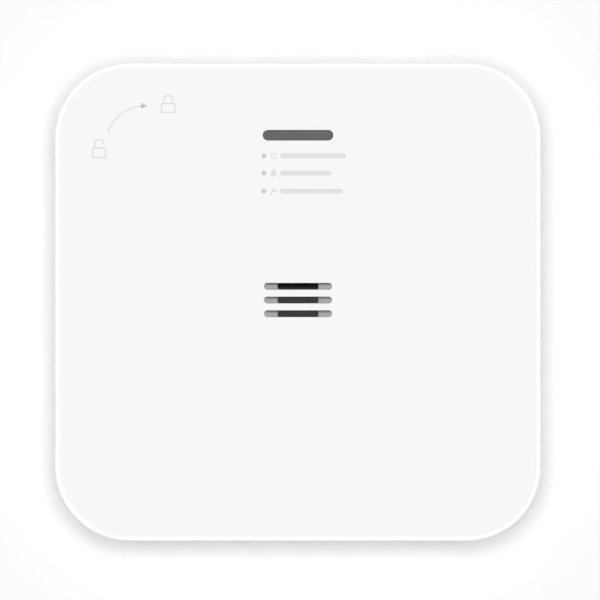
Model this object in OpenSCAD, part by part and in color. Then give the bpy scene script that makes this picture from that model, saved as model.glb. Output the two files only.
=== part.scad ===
// Wall-mounted carbon monoxide detector with a twist-on bracket.
// Every module is drawn in a wall frame: x to the right, y up the wall and z out of the wall,
// with the origin at the middle of the bracket's wall side. upright() then stands it up.

/* [Body] */
// Overall width, side to side
body_w = 100; // [92:1:130]
// Overall height
body_h = 98.4; // [92:0.2:130]
// Radius of the four corners
corner_r = 15.4; // [13:0.2:20]
// Round on the edge of the front face
front_edge_r = 1.2; // [0.5:0.1:1.8]
// Round on the rear edge
rear_edge_r = 0.8; // [0.4:0.1:1]
// Thickness of the outer walls
wall = 2; // [1.6:0.1:2.6]
// Distance from the wall to the line where the two shells meet
parting_z = 14; // [12:0.5:18]
// Gap between the rear shell and the wall
wall_gap = 0.8; // [0.5:0.1:1.2]
// Depth and width of the shadow gap between the shells
reveal = 0.4; // [0.2:0.1:0.6]
// Height of the tongue that locates the shells
tongue_h = 1.6; // [1:0.1:2.5]
// Thickness of the tongue
tongue_t = 1; // [0.8:0.1:1.4]
// Gap between the tongue and the rear shell
tongue_gap = 0.1; // [0.05:0.05:0.3]

/* [Front face] */
// Length of a sounder groove
groove_l = 14; // [10:0.1:17]
// Width of a sounder groove
groove_w = 1.4; // [1:0.05:2]
// Depth of the groove's closed ends
groove_depth = 0.8; // [0.4:0.1:1.2]
// Length of the open window in each groove
window_l = 8.4; // [5:0.1:9]
// Height of the open window in each groove
window_w = 1.26; // [0.9:0.02:1.8]
// Spacing of the grooves
groove_pitch = 2.82; // [2.4:0.02:4]
// Height of the middle groove above the middle of the body
groove_rise = 0.4; // [0:0.1:3]
// Length of the light bar
light_l = 14.5; // [10:0.1:20]
// Width of the light bar
light_w = 2.15; // [1.5:0.05:3]
// Distance from the top edge to the middle of the light bar
light_drop = 14.9; // [13:0.1:18]

/* [Twist-on bracket] */
// Least width of the rear rim round the bracket's recess
rim_w = 5.7; // [5:0.1:8]
// Gap all round the bracket plate
plate_gap = 1.5; // [1:0.1:2.5]
// Thickness of the bracket plate
plate_t = 1.6; // [1.4:0.1:2.5]
// Turn from locked to free, in degrees
twist = 18; // [14:1:24]
// Direction of the first locking tab, in degrees
tab_start = 7.5; // [0:0.5:20]
// How far a locking tab reaches in from the recess wall
tab_reach = 6; // [4:0.1:7]
// Thickness of a locking tab
tab_t = 1.5; // [1.2:0.1:2]
// Thickness of the hook over a locking tab
hook_t = 1.5; // [1.2:0.1:2]
// Gap on each side of a locking tab
lock_gap = 0.3; // [0.2:0.05:0.5]
// Gap between a hook and the floor of the recess
hook_gap = 0.4; // [0.3:0.1:1]
// Thickness of a hook's leg
hook_leg = 1.8; // [1.4:0.1:2.4]

/* [Wall screws] */
// Distance between two opposite wall screws
wall_screw_spacing = 56; // [50:1:58]
// Length of a wall-screw slot
wall_slot_l = 9; // [6:0.5:10]
// Width of a wall-screw slot
wall_slot_w = 4.5; // [3.5:0.1:5]

/* [Batteries] */
// Diameter of a cell
cell_d = 14.5; // [10.5:0.1:17.5]
// Length of a cell with its terminal
cell_l = 50.5; // [44.5:0.1:52]
// Diameter of a cell's terminal
terminal_d = 5.2; // [3.5:0.1:5.5]
// Length of a cell's terminal
terminal_l = 1.5; // [1:0.1:2]
// Room for a pressed battery spring
spring_room = 6; // [4:0.1:7]
// Thickness of the contact strips
contact_t = 0.5; // [0.3:0.1:0.8]
// Wire diameter of the battery springs
spring_wire = 0.8; // [0.6:0.1:1]
// Number of turns of a battery spring
spring_turns = 4; // [3:1:5]
// Thickness of the battery bay's walls
bay_wall = 1.6; // [1.2:0.1:2]
// Gap between a cell and the bay
cell_gap = 0.4; // [0.2:0.1:0.8]

/* [Electronics] */
// Room between the circuit board and the front wall
front_room = 7; // [6:0.1:10]
// Thickness of the circuit board
board_t = 1.6; // [1:0.1:2]
// Gap from the outer walls to the circuit board
board_gap = 5; // [4:0.5:8]
// Diameter of the gas sensor
sensor_d = 20; // [14:0.5:24]
// Height of the gas sensor
sensor_h = 15; // [10:0.5:15.5]
// Gap between the battery bay and the gas sensor
sensor_gap = 5; // [2:0.5:6]
// Diameter of the sounder
sounder_d = 30; // [24:0.5:36]
// Thickness of the sounder's foam ring
foam_t = 1; // [0.6:0.1:1.5]
// Distance between the indicator lamps
lamp_pitch = 4; // [3.2:0.1:5]

/* [Test button] */
// Length of the button
button_l = 16; // [12:0.5:24]
// Width of the button
button_w = 6; // [5:0.1:6.4]
// Height of the button above the middle of the body
button_rise = 0; // [-15:1:15]
// Travel of the button
button_travel = 0.5; // [0.3:0.05:0.6]
// Gap round the button
button_gap = 0.2; // [0.1:0.05:0.4]

/* [Fasteners] */
// Shank diameter of a cover screw
cover_screw_d = 2.8; // [2.4:0.1:3.2]
// Head diameter of a cover screw
cover_head_d = 5.6; // [5:0.1:6]
// Length of a cover screw under its head
cover_screw_l = 14; // [12:1:18]
// Distance from the outer walls to a cover screw
cover_screw_inset = 11; // [10.5:0.1:12]
// Shank diameter of a board screw
board_screw_d = 1.8; // [1.6:0.1:2.2]
// Head diameter of a board screw
board_head_d = 3.8; // [3.4:0.1:4.2]

/* [Hidden] */
$fn = 64;
edge_steps = 5;
cut = 1;

// Bracket and recess
recess_r = min(body_w, body_h) / 2 - rim_w;
plate_r = recess_r - plate_gap;
free_angle = 3;
tab_angle = twist - free_angle;
tab_z = plate_t + lock_gap;
hook_z = tab_z + tab_t + lock_gap;
hook_top = hook_z + hook_t;
recess_z = hook_top + hook_gap;
tab_r = recess_r - tab_reach;
leg_gap = 0.7;
hook_r = tab_r - hook_leg - leg_gap;
hook_reach = 2.3;
hook_out = tab_r + hook_reach;
hook_margin = 0.5;
stop_angle = 2;
stop_gap = 0.15;
root_depth = 0.5;

// Battery bay, which keeps its two lower corners inside the round recess
bay_margin = 1.3;
bay_l = cell_l + 2 * contact_t + spring_room;
bay_h = 2 * cell_d + 4 * cell_gap;
bay_bottom = -sqrt(pow(recess_r - bay_margin, 2) - pow(bay_l / 2, 2));
bay_top = bay_bottom + bay_h;
cell_rise = 0.9;
cell_top_gap = 0.3;
cell_z = recess_z + cell_rise + cell_d / 2;
lower_cell_y = bay_bottom + cell_gap + cell_d / 2;
upper_cell_y = bay_top - cell_gap - cell_d / 2;
bay_ceiling_z = cell_z + cell_d / 2 + cell_top_gap;
bay_ceiling_t = 1.4;
bay_end = bay_l / 2;
contact_w = 9;
contact_leg_w = 2.4;
contact_leg_out = 0.8;

// Stack from the battery bay to the front face
board_clearance = 0.7;
board_back = bay_ceiling_z + bay_ceiling_t + board_clearance;
board_front = board_back + board_t;
front_in = board_front + front_room;
body_d = front_in + wall;
floor_in = recess_z + wall;

// Circuit board
board_w = body_w - 2 * (wall + board_gap);
board_h = body_h - 2 * (wall + board_gap);
board_corner_r = corner_r - wall - board_gap;
post_inset = 5;
post_x = board_w / 2 - post_inset;
post_y = 24;
post_r = 2.6;
board_screw_l = 5;

// Cover screws
screw_x = body_w / 2 - cover_screw_inset;
screw_y = body_h / 2 - cover_screw_inset;
pillar_r = 4.5;
boss_r = 3.8;
head_t = 2;
head_seat_z = 6;
head_gap = 0.3;

// Front face
light_y = body_h / 2 - light_drop;
lens_gap = 0.05;
lens_flange = 1.2;
lens_flange_t = 0.8;
lens_sink = 0.1;

// Sounder
sounder_r = sounder_d / 2;
sounder_top = front_in - foam_t;
sounder_wall = 1.4;
disc_z = board_front + (sounder_top - board_front) * 0.6;
disc_t = 0.25;
ceramic_t = 0.2;
mesh_t = 0.3;
foam_w = 3.4;

// Gas sensor, clear of the battery bay behind the board and of the sounder in front of it
pin_circle_r = 5.4;
pin_d = 1;
pin_margin = 1.5;
pins_clear_y = groove_rise + sounder_r + pin_margin + (pin_circle_r + pin_d) / 2;
sensor_y = max(bay_top + bay_wall + sensor_gap + sensor_d / 2, pins_clear_y);
sensor_z = board_back - sensor_h;
sensor_base_h = 3;
can_wall = 0.6;

// Test button and its switch
switch_l = 6;
switch_w = 7;
switch_h = 3.6;
plunger_out = 1.2;
plunger_w = 3.4;
plunger_h = 1.8;
plunger_gap = 0.15;
plunger_in = 1.2;
button_z = board_front + switch_h / 2;
button_flange = 1.2;
button_flange_t = 1;
button_sink = 0.05;
wall_in_x = body_w / 2 - wall;
plunger_tip = board_w / 2 + plunger_out;

// Gas vents in the rear shell's sides
vent_w = 1.6;
vent_h = 6;
vent_pitch = 3.6;
vent_count = 7;
vent_z = 5;

// ---------- helpers ----------

// Stands the wall frame up, so that the wall lies in the XZ plane and the front faces -Y
module upright() {
  rotate([90, 0, 0]) children();
}

// Points of an arc, or its single corner where the radius is zero
function arc_points(cx, cy, r, from, to) = r == 0 ? [[cx, cy]] :
  [for (i = [0 : edge_steps]) let (a = from + (to - from) * i / edge_steps)
    [cx + r * cos(a), cy + r * sin(a)]];

// Section through a block's side, from a corner's axis out to its surface
module edge_profile(reach, z0, z1, rear_r, front_r) {
  polygon(concat(
    [[0, z0]],
    arc_points(reach - rear_r, z0 + rear_r, rear_r, -90, 0),
    arc_points(reach - front_r, z1 - front_r, front_r, 0, 90),
    [[0, z1]]
  ));
}

// Block with round corners and, if asked, round rear and front edges
module rounded_block(w, h, r, z0, z1, rear_r = 0, front_r = 0) {
  dx = w / 2 - r;
  dy = h / 2 - r;
  corners = [[dx, dy], [-dx, dy], [-dx, -dy], [dx, -dy]];
  for (k = [0 : 3]) {
    reach = k % 2 == 0 ? dx : dy;
    run = k % 2 == 0 ? dy : dx;
    translate([corners[k].x, corners[k].y, 0])
      rotate([0, 0, 90 * k])
        rotate_extrude(angle = 90) edge_profile(r, z0, z1, rear_r, front_r);
    rotate([0, 0, 90 * k])
      translate([reach, 0, 0])
        rotate([90, 0, 0])
          linear_extrude(height = 2 * run, center = true) edge_profile(r, z0, z1, rear_r, front_r);
  }
  translate([-dx, -dy, z0]) cube([2 * dx, 2 * dy, z1 - z0]);
}

// Block that follows the body's outline at a distance inside it
module body_block(inset, z0, z1, rear_r = 0, front_r = 0) {
  rounded_block(body_w - 2 * inset, body_h - 2 * inset, corner_r - inset, z0, z1, rear_r, front_r);
}

// Part of a flat ring
module ring_sector(r_in, r_out, z0, z1, from, span) {
  rotate([0, 0, from])
    rotate_extrude(angle = span)
      translate([r_in, z0]) square([r_out - r_in, z1 - z0]);
}

// Flat ring
module ring(r_in, r_out, z0, z1) {
  difference() {
    translate([0, 0, z0]) cylinder(h = z1 - z0, r = r_out);
    translate([0, 0, z0 - cut]) cylinder(h = z1 - z0 + 2 * cut, r = r_in);
  }
}

// Flat bar with round ends, along x
module bar(l, w, z0, z1) {
  translate([0, 0, z0]) {
    translate([-(l - w) / 2, -w / 2, 0]) cube([l - w, w, z1 - z0]);
    for (side = [-1, 1]) {
      translate([side * (l - w) / 2, 0, 0]) cylinder(h = z1 - z0, d = w);
    }
  }
}

// Round rod along z
module rod(r, z0, z1) {
  translate([0, 0, z0]) cylinder(h = z1 - z0, r = r);
}

// Box centred on x and y
module box(w, h, z0, z1) {
  translate([-w / 2, -h / 2, z0]) cube([w, h, z1 - z0]);
}

// Four places, one in each corner
module four_corners(x, y) {
  for (sx = [-1, 1], sy = [-1, 1]) {
    translate([sx * x, sy * y, 0]) children();
  }
}

// Places of the four locking tabs
module at_locks() {
  for (k = [0 : 3]) {
    rotate([0, 0, tab_start + 90 * k]) children();
  }
}

// Turns a shape drawn along z so that it runs along x at the button's place
module at_button() {
  translate([0, button_rise, button_z]) rotate([90, 0, 90]) children();
}

// ---------- bracket ----------

module wall_screw_slots() {
  for (k = [0 : 3]) {
    rotate([0, 0, 90 * k])
      translate([wall_screw_spacing / 2, 0, 0])
        bar(wall_slot_l, wall_slot_w, -cut, plate_t + cut);
  }
}

module bracket_windows() {
  window_in = 12;
  window_out = 20.5;
  window_span = 52;
  for (k = [0 : 3]) {
    ring_sector(window_in, window_out, -cut, plate_t + cut, 45 - window_span / 2 + 90 * k, window_span);
  }
  at_locks() ring_sector(tab_r, hook_out, -cut, plate_t + cut, 0, tab_angle);
}

// Hook over a locking tab, with the stop that the tab meets when it is locked
module lock_hook() {
  root_z = plate_t - root_depth;
  stop_lap = 0.85;
  stop_set_back = 0.3;
  rotate([0, 0, -stop_gap - stop_lap])
    rotate_extrude(angle = stop_gap + stop_lap + tab_angle + hook_margin) polygon([
      [hook_r, root_z], [hook_r + hook_leg, root_z], [hook_r + hook_leg, hook_z],
      [hook_out, hook_z], [hook_out, hook_top], [hook_r, hook_top]
    ]);
  ring_sector(hook_r + stop_set_back, hook_out - stop_set_back, root_z, hook_top - stop_set_back,
    -stop_gap - stop_angle, stop_angle);
}

// Arrow pressed into the wall side that shows which way up the bracket goes
module up_arrow() {
  arrow_depth = 0.4;
  arrow_y = 16;
  translate([0, arrow_y, -cut])
    linear_extrude(height = cut + arrow_depth) polygon([
      [0, 5.5], [3.6, 1.2], [1.3, 1.2], [1.3, -5], [-1.3, -5], [-1.3, 1.2], [-3.6, 1.2]
    ]);
}

module mounting_bracket() {
  rib_in = 9.6;
  rib_out = 10.8;
  rib_h = 1.2;
  color("whitesmoke") upright() {
    difference() {
      rod(plate_r, 0, plate_t);
      wall_screw_slots();
      bracket_windows();
      up_arrow();
    }
    ring(rib_in, rib_out, plate_t - root_depth, plate_t + rib_h);
    at_locks() lock_hook();
  }
}

// ---------- shells ----------

module side_vents() {
  for (k = [0 : 3]) {
    reach = (k % 2 == 0 ? body_w : body_h) / 2;
    for (i = [0 : vent_count - 1]) {
      rotate([0, 0, 90 * k])
        translate([reach - wall - 0.5, (i - (vent_count - 1) / 2) * vent_pitch - vent_w / 2, vent_z])
          cube([wall + cut, vent_w, vent_h]);
    }
  }
}

module contact_slots(z0, z1) {
  slot_gap = 0.2;
  contact_x = bay_end - contact_t / 2;
  for (place = [[contact_x, upper_cell_y], [-contact_x, upper_cell_y], [contact_x, lower_cell_y]]) {
    translate([place.x, place.y, 0])
      box(contact_t + 2 * slot_gap, contact_leg_w + 2 * slot_gap, z0, z1);
  }
}

module rear_housing() {
  bay_outer_h = bay_h + 2 * bay_wall;
  bay_mid_y = (bay_top + bay_bottom) / 2;
  color("white") upright() {
    difference() {
      union() {
        difference() {
          body_block(0, wall_gap, parting_z, rear_edge_r, 0);
          body_block(wall, wall_gap + wall, parting_z + cut);
        }
        rod(recess_r + wall, wall_gap, floor_in);
        translate([0, bay_mid_y, 0])
          box(bay_l + 2 * bay_wall, bay_outer_h, recess_z, bay_ceiling_z + bay_ceiling_t);
        four_corners(screw_x, screw_y) rod(pillar_r, wall_gap, parting_z);
      }
      rod(recess_r, wall_gap - cut, recess_z);
      translate([0, bay_mid_y, 0]) box(bay_l, bay_h, recess_z - cut, bay_ceiling_z);
      four_corners(screw_x, screw_y) {
        rod(cover_head_d / 2 + head_gap, wall_gap - cut, head_seat_z);
        rod(cover_screw_d / 2 + 0.2, head_seat_z - cut, parting_z + cut);
      }
      side_vents();
      contact_slots(bay_ceiling_z - cut, bay_ceiling_z + bay_ceiling_t + cut);
      difference() {
        box(body_w + 2, body_h + 2, parting_z - reveal, parting_z + cut);
        body_block(reveal, parting_z - reveal - cut, parting_z + 2 * cut);
      }
    }
    at_locks() ring_sector(tab_r, recess_r + wall / 2, tab_z, tab_z + tab_t, 0, tab_angle);
  }
}

module grooves() {
  for (k = [-1 : 1]) {
    translate([0, groove_rise + k * groove_pitch, 0]) {
      bar(groove_l, groove_w, body_d - groove_depth, body_d + cut);
      box(window_l, window_w, front_in - cut, body_d + cut);
    }
  }
}

module front_cover() {
  shelf_h = 2;
  lip_in = wall + tongue_gap + tongue_t;
  color("white") upright() {
    difference() {
      union() {
        difference() {
          union() {
            body_block(0, parting_z, body_d, 0, front_edge_r);
            body_block(wall + tongue_gap, parting_z - tongue_h, parting_z);
          }
          body_block(lip_in, parting_z - tongue_h - cut, parting_z + shelf_h);
          body_block(wall, parting_z + shelf_h, front_in);
        }
        four_corners(screw_x, screw_y) rod(boss_r, parting_z, front_in + root_depth);
        four_corners(post_x, post_y) rod(post_r, board_front, front_in + root_depth);
      }
      grooves();
      translate([0, light_y, 0]) bar(light_l, light_w, front_in - cut, body_d + cut);
      at_button() bar(button_l, button_w, wall_in_x - cut, body_w / 2 + cut);
      four_corners(screw_x, screw_y)
        rod(cover_screw_d / 2, parting_z - cut, head_seat_z + cover_screw_l + 1);
      four_corners(post_x, post_y)
        rod(board_screw_d / 2, board_front - cut, board_back + board_screw_l + 0.5);
    }
  }
}

module cover_screws() {
  color("silver") upright() four_corners(screw_x, screw_y) {
    difference() {
      union() {
        rod(cover_head_d / 2, head_seat_z - head_t, head_seat_z);
        rod(cover_screw_d / 2, head_seat_z, head_seat_z + cover_screw_l);
      }
      for (turn = [0, 90]) {
        rotate([0, 0, turn]) box(3.2, 0.8, head_seat_z - head_t - cut, head_seat_z - head_t + 1.1);
      }
    }
  }
}

// ---------- light bar ----------

module light_bar() {
  color("dimgray") upright() translate([0, light_y, 0]) {
    bar(light_l - 2 * lens_gap, light_w - 2 * lens_gap, front_in - 0.1, body_d - lens_sink);
    bar(light_l + 2 * lens_flange, light_w + 2 * lens_flange, front_in - lens_flange_t, front_in);
  }
}

lamp_h = 1.9;

module light_guide() {
  guide_l = light_l + 2 * lens_flange;
  guide_w = light_w + 2 * lens_flange;
  foot_l = 1.6;
  lamp_room = 0.4;
  color("lightcyan") upright() translate([0, light_y, 0]) {
    difference() {
      box(guide_l, guide_w, board_front, front_in - lens_flange_t);
      box(guide_l - 2 * foot_l, guide_w + 2 * cut, board_front - cut, board_front + lamp_h + lamp_room);
    }
  }
}

module lamp(x, tint) {
  color(tint) upright() translate([x, light_y, 0]) {
    box(2.8, 3.2, board_front, board_front + lamp_h - 0.3);
    rod(1.1, board_front + lamp_h - 0.4, board_front + lamp_h);
  }
}

module lamp_green() {
  lamp(-lamp_pitch, "green");
}

module lamp_red() {
  lamp(0, "red");
}

module lamp_yellow() {
  lamp(lamp_pitch, "gold");
}

// ---------- circuit board ----------

module sensor_pin_places() {
  for (k = [0 : 2]) {
    translate([0, sensor_y, 0]) rotate([0, 0, 90 + 120 * k]) translate([pin_circle_r, 0, 0]) children();
  }
}

module circuit_board() {
  color("seagreen") upright() {
    difference() {
      rounded_block(board_w, board_h, board_corner_r, board_back, board_front);
      four_corners(screw_x, screw_y) rod(boss_r + 1, board_back - cut, board_front + cut);
      four_corners(post_x, post_y) rod(board_screw_d / 2 + 0.2, board_back - cut, board_front + cut);
      sensor_pin_places() rod(pin_d / 2 + 0.1, board_back - cut, board_front + cut);
      contact_slots(board_back - cut, board_front + cut);
    }
  }
}

module board_screws() {
  head_h = 1.2;
  color("silver") upright() four_corners(post_x, post_y) {
    difference() {
      rod(board_head_d / 2, board_back - head_h, board_back);
      for (turn = [0, 90]) {
        rotate([0, 0, turn]) box(2.2, 0.5, board_back - head_h - cut, board_back - head_h + 0.7);
      }
    }
    rod(board_screw_d / 2, board_back, board_back + board_screw_l);
  }
}

// Square chip with rows of legs on two or four sides
module chip(w, h, t, legs, pitch, sides) {
  leg_l = 1;
  leg_w = 0.4;
  box(w, h, board_front + 0.1, board_front + t);
  for (k = [0 : sides - 1]) {
    turn = 90 * k * 4 / sides;
    reach = k * 4 / sides % 2 == 0 ? w / 2 : h / 2;
    rotate([0, 0, turn]) for (i = [0 : legs - 1]) {
      translate([reach, (i - (legs - 1) / 2) * pitch - leg_w / 2, board_front])
        cube([leg_l, leg_w, 0.3]);
    }
  }
}

module microcontroller() {
  color("black") upright() translate([-27, -27, 0]) chip(7, 7, 1.4, 8, 0.8, 4);
}

module amplifier_chip() {
  color("black") upright() translate([-25, 24, 0]) chip(4, 5, 1.5, 4, 1.27, 2);
}

module boost_coil() {
  color("dimgray") upright() translate([15, -30, 0]) {
    box(7, 7, board_front, board_front + 0.8);
    rod(3.3, board_front + 0.8, board_front + 3.6);
  }
}

module storage_capacitor() {
  color("lightgray") upright() translate([24, 26, 0]) {
    box(6.6, 6.6, board_front, board_front + 0.7);
    rod(3.15, board_front + 0.7, board_front + 5.4);
  }
}

module chip_resistors() {
  color("black") upright() for (i = [0 : 4], side = [-1, 1]) {
    translate([side * 26 + (i - 2) * 2.6, -36, 0]) box(1.6, 0.8, board_front, board_front + 0.5);
  }
}

module chip_capacitors() {
  color("tan") upright() for (i = [0 : 3], side = [-1, 1]) {
    translate([side * 32, (i - 1.5) * 3 + 10, 0]) box(1.6, 0.8, board_front, board_front + 0.8);
  }
}

// ---------- gas sensor ----------

module co_sensor_can() {
  color("silver") upright() translate([0, sensor_y, 0]) {
    difference() {
      rod(sensor_d / 2, sensor_z, board_back - sensor_base_h);
      rod(sensor_d / 2 - can_wall, sensor_z + can_wall, board_back);
      rod(1.5, sensor_z - cut, sensor_z + can_wall + cut);
    }
  }
}

module co_sensor_filter() {
  color("black") upright() translate([0, sensor_y, 0])
    rod(sensor_d / 2 - can_wall - 0.1, sensor_z + can_wall, sensor_z + can_wall + 1.5);
}

module co_sensor_base() {
  color("dimgray") upright() translate([0, sensor_y, 0]) {
    rod(sensor_d / 2, board_back - sensor_base_h, board_back);
    rod(sensor_d / 2 - can_wall - 0.1, sensor_z + can_wall + 1.5, board_back - sensor_base_h);
  }
}

module co_sensor_pins() {
  color("gold") upright() sensor_pin_places() rod(pin_d / 2, board_back, board_front + 1);
}

module co_sensor_gasket() {
  color("black") upright() translate([0, sensor_y, 0]) ring(5, sensor_d / 2 - 1, floor_in, sensor_z);
}

// ---------- sounder ----------

module sounder_housing() {
  color("black") upright() translate([0, groove_rise, 0]) {
    difference() {
      rod(sounder_r, board_front, sounder_top);
      rod(sounder_r - sounder_wall - 1, board_front + 0.8, sounder_top + cut);
      rod(sounder_r - sounder_wall, disc_z, sounder_top + cut);
    }
  }
}

module sounder_lid() {
  lid_r = sounder_r - sounder_wall - 0.1;
  color("dimgray") upright() translate([0, groove_rise, 0]) {
    ring(3, lid_r, sounder_top - 0.9, sounder_top);
    ring(lid_r - 0.9, lid_r, disc_z + disc_t, sounder_top - 0.9);
  }
}

module sounder_disc() {
  color("goldenrod") upright() translate([0, groove_rise, 0])
    rod(sounder_r - sounder_wall - 0.1, disc_z, disc_z + disc_t);
}

module sounder_ceramic() {
  color("white") upright() translate([0, groove_rise, 0])
    rod(sounder_r * 0.62, disc_z - ceramic_t, disc_z);
}

module sounder_foam_ring() {
  color("black") upright() translate([0, groove_rise, 0])
    ring(sounder_r - foam_w, sounder_r, sounder_top, front_in);
}

module dust_mesh() {
  color("darkslategray") upright() translate([0, groove_rise, 0])
    rod(sounder_r - foam_w - 0.2, front_in - mesh_t, front_in);
}

// Short lead that leaves the sounder's side and bends down to the board
module sounder_wire(direction) {
  bend_r = 2.4;
  upright() translate([0, groove_rise, board_front]) rotate([0, 0, direction])
    translate([sounder_r, 0, 0]) rotate([90, 0, 0])
      rotate_extrude(angle = 90) translate([bend_r, 0]) circle(r = 0.5);
}

module sounder_wire_red() {
  color("red") sounder_wire(-142);
}

module sounder_wire_black() {
  color("black") sounder_wire(-128);
}

// ---------- test button ----------

module test_button() {
  color("white") upright() at_button() {
    bar(button_l - 2 * button_gap, button_w - 2 * button_gap, wall_in_x - 0.1, body_w / 2 - button_sink);
    bar(button_l + 2 * button_flange, button_w + 2 * button_flange, wall_in_x - button_flange_t, wall_in_x);
    rod(1.4, plunger_tip, wall_in_x - button_flange_t + 0.1);
  }
}

module switch_body() {
  well = plunger_in + button_travel + 0.3;
  color("dimgray") upright() {
    difference() {
      translate([board_w / 2 - switch_l / 2, button_rise, 0])
        box(switch_l, switch_w, board_front, board_front + switch_h);
      at_button() box(plunger_w + 2 * plunger_gap, plunger_h + 2 * plunger_gap,
        board_w / 2 - well, board_w / 2 + cut);
    }
  }
}

module switch_plunger() {
  color("black") upright() at_button()
    box(plunger_w, plunger_h, board_w / 2 - plunger_in, plunger_tip);
}

// ---------- batteries and contacts ----------

// A cell along x with its terminal at the positive end
module cell() {
  rotate([0, 90, 0]) {
    rod(cell_d / 2, -cell_l / 2, cell_l / 2 - terminal_l);
    rod(terminal_d / 2, cell_l / 2 - terminal_l - 0.1, cell_l / 2);
  }
}

cell_shift = (bay_l - cell_l) / 2 - contact_t;

module battery_upper() {
  color("darkslateblue") upright() translate([cell_shift, upper_cell_y, cell_z]) cell();
}

module battery_lower() {
  color("darkslateblue") upright()
    translate([-cell_shift, lower_cell_y, cell_z]) rotate([0, 0, 180]) cell();
}

contact_low_z = recess_z + 2.5;
contact_top_z = bay_ceiling_z - 0.3;

// Strip on the bay's end wall at x, with a leg that goes through to the circuit board
module contact_strip(x, y0, y1, leg_y) {
  translate([x - contact_t / 2, y0, contact_low_z])
    cube([contact_t, y1 - y0, contact_top_z - contact_low_z]);
  translate([x, leg_y, 0])
    box(contact_t, contact_leg_w, contact_top_z - root_depth, board_front + contact_leg_out);
}

module positive_contact() {
  color("silver") upright()
    contact_strip(bay_end - contact_t / 2, upper_cell_y - contact_w / 2, upper_cell_y + contact_w / 2,
      upper_cell_y);
}

module negative_contact() {
  color("silver") upright()
    contact_strip(bay_end - contact_t / 2, lower_cell_y - contact_w / 2, lower_cell_y + contact_w / 2,
      lower_cell_y);
}

module bridge_contact() {
  color("silver") upright()
    contact_strip(contact_t / 2 - bay_end, lower_cell_y - contact_w / 2, upper_cell_y + contact_w / 2,
      upper_cell_y);
}

spring_sides = 6;
spring_steps = 14;
spring_base_r = 4.4;
spring_tip_r = 2.7;
spring_flat = 0.2;

// Tapered battery spring along +z, from the contact strip to the cell's end
function spring_height(t) = spring_wire / 2 + (spring_room - spring_wire)
  * min(1, max(0, (t - spring_flat) / (1 - 2 * spring_flat)));
function spring_radius(t) = spring_base_r + (spring_tip_r - spring_base_r) * t;

module battery_spring() {
  rings = spring_turns * spring_steps;
  points = [for (i = [0 : rings]) for (j = [0 : spring_sides - 1])
    let (t = i / rings, turn = 360 * i / spring_steps, side = 360 * j / spring_sides,
      r = spring_radius(t) + spring_wire / 2 * cos(side))
    [r * cos(turn), r * sin(turn), spring_height(t) + spring_wire / 2 * sin(side)]];
  skin = [for (i = [0 : rings - 1]) for (j = [0 : spring_sides - 1])
    let (a = i * spring_sides + j, b = i * spring_sides + (j + 1) % spring_sides)
    [a, b, b + spring_sides, a + spring_sides]];
  ends = [
    [for (j = [spring_sides - 1 : -1 : 0]) j],
    [for (j = [0 : spring_sides - 1]) rings * spring_sides + j]
  ];
  polyhedron(points = points, faces = concat(skin, ends), convexity = 8);
}

module negative_spring() {
  color("silver") upright()
    translate([bay_end - contact_t, lower_cell_y, cell_z]) rotate([0, -90, 0]) battery_spring();
}

module bridge_spring() {
  color("silver") upright()
    translate([contact_t - bay_end, upper_cell_y, cell_z]) rotate([0, 90, 0]) battery_spring();
}

// ---------- label ----------

module rating_label() {
  label_t = 0.12;
  label_w = 44;
  label_h = 22;
  color("whitesmoke") upright() translate([0, bay_top + 6 + label_h / 2, 0])
    box(label_w, label_h, recess_z - label_t, recess_z);
}

mounting_bracket();
rear_housing();
front_cover();
light_bar();
light_guide();
dust_mesh();
circuit_board();
cover_screws();
board_screws();
co_sensor_can();
co_sensor_filter();
co_sensor_base();
co_sensor_pins();
co_sensor_gasket();
sounder_housing();
sounder_lid();
sounder_disc();
sounder_ceramic();
sounder_foam_ring();
sounder_wire_red();
sounder_wire_black();
lamp_green();
lamp_red();
lamp_yellow();
test_button();
switch_body();
switch_plunger();
battery_upper();
battery_lower();
positive_contact();
negative_contact();
negative_spring();
bridge_contact();
bridge_spring();
microcontroller();
amplifier_chip();
boost_coil();
storage_capacitor();
chip_resistors();
chip_capacitors();
rating_label();
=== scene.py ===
"""Looks of a wall-mounted carbon monoxide detector on its twist-on bracket.

Shapes are drawn in a wall frame, in millimetres: x to the right, y up the wall, z out of the wall.
"""

import logging
import math
from collections.abc import Callable, Iterable, Sequence
from dataclasses import dataclass, field
from enum import Enum

import bpy
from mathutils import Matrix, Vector
from mathutils.geometry import delaunay_2d_cdt


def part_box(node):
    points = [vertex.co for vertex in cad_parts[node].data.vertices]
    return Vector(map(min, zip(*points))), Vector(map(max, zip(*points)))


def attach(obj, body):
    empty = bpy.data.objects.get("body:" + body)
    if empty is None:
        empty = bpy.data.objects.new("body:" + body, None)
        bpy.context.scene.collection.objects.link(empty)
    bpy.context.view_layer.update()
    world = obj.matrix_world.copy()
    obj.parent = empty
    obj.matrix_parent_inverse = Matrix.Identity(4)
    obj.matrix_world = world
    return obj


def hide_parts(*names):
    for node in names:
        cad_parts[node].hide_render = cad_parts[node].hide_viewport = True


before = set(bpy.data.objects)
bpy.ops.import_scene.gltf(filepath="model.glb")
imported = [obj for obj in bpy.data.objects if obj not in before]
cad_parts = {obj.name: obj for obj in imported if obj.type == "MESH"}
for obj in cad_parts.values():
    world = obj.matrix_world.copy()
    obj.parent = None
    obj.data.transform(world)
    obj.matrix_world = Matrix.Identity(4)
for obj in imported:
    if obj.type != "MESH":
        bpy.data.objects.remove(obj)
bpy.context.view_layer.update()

log = logging.getLogger("detector")

MM = 0.001
CORNER_STEPS = 18
END_STEPS = 8
LIP_STEPS = 3
PEG_SIDES = 32
CORE_SIDES = 72
DRUM_SIDES = 96
RIM_SIDES = 144
WELD_GAP = 1e-6
SHARP_ANGLE = math.radians(35)
FLAT_WEIGHT = 50

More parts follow.
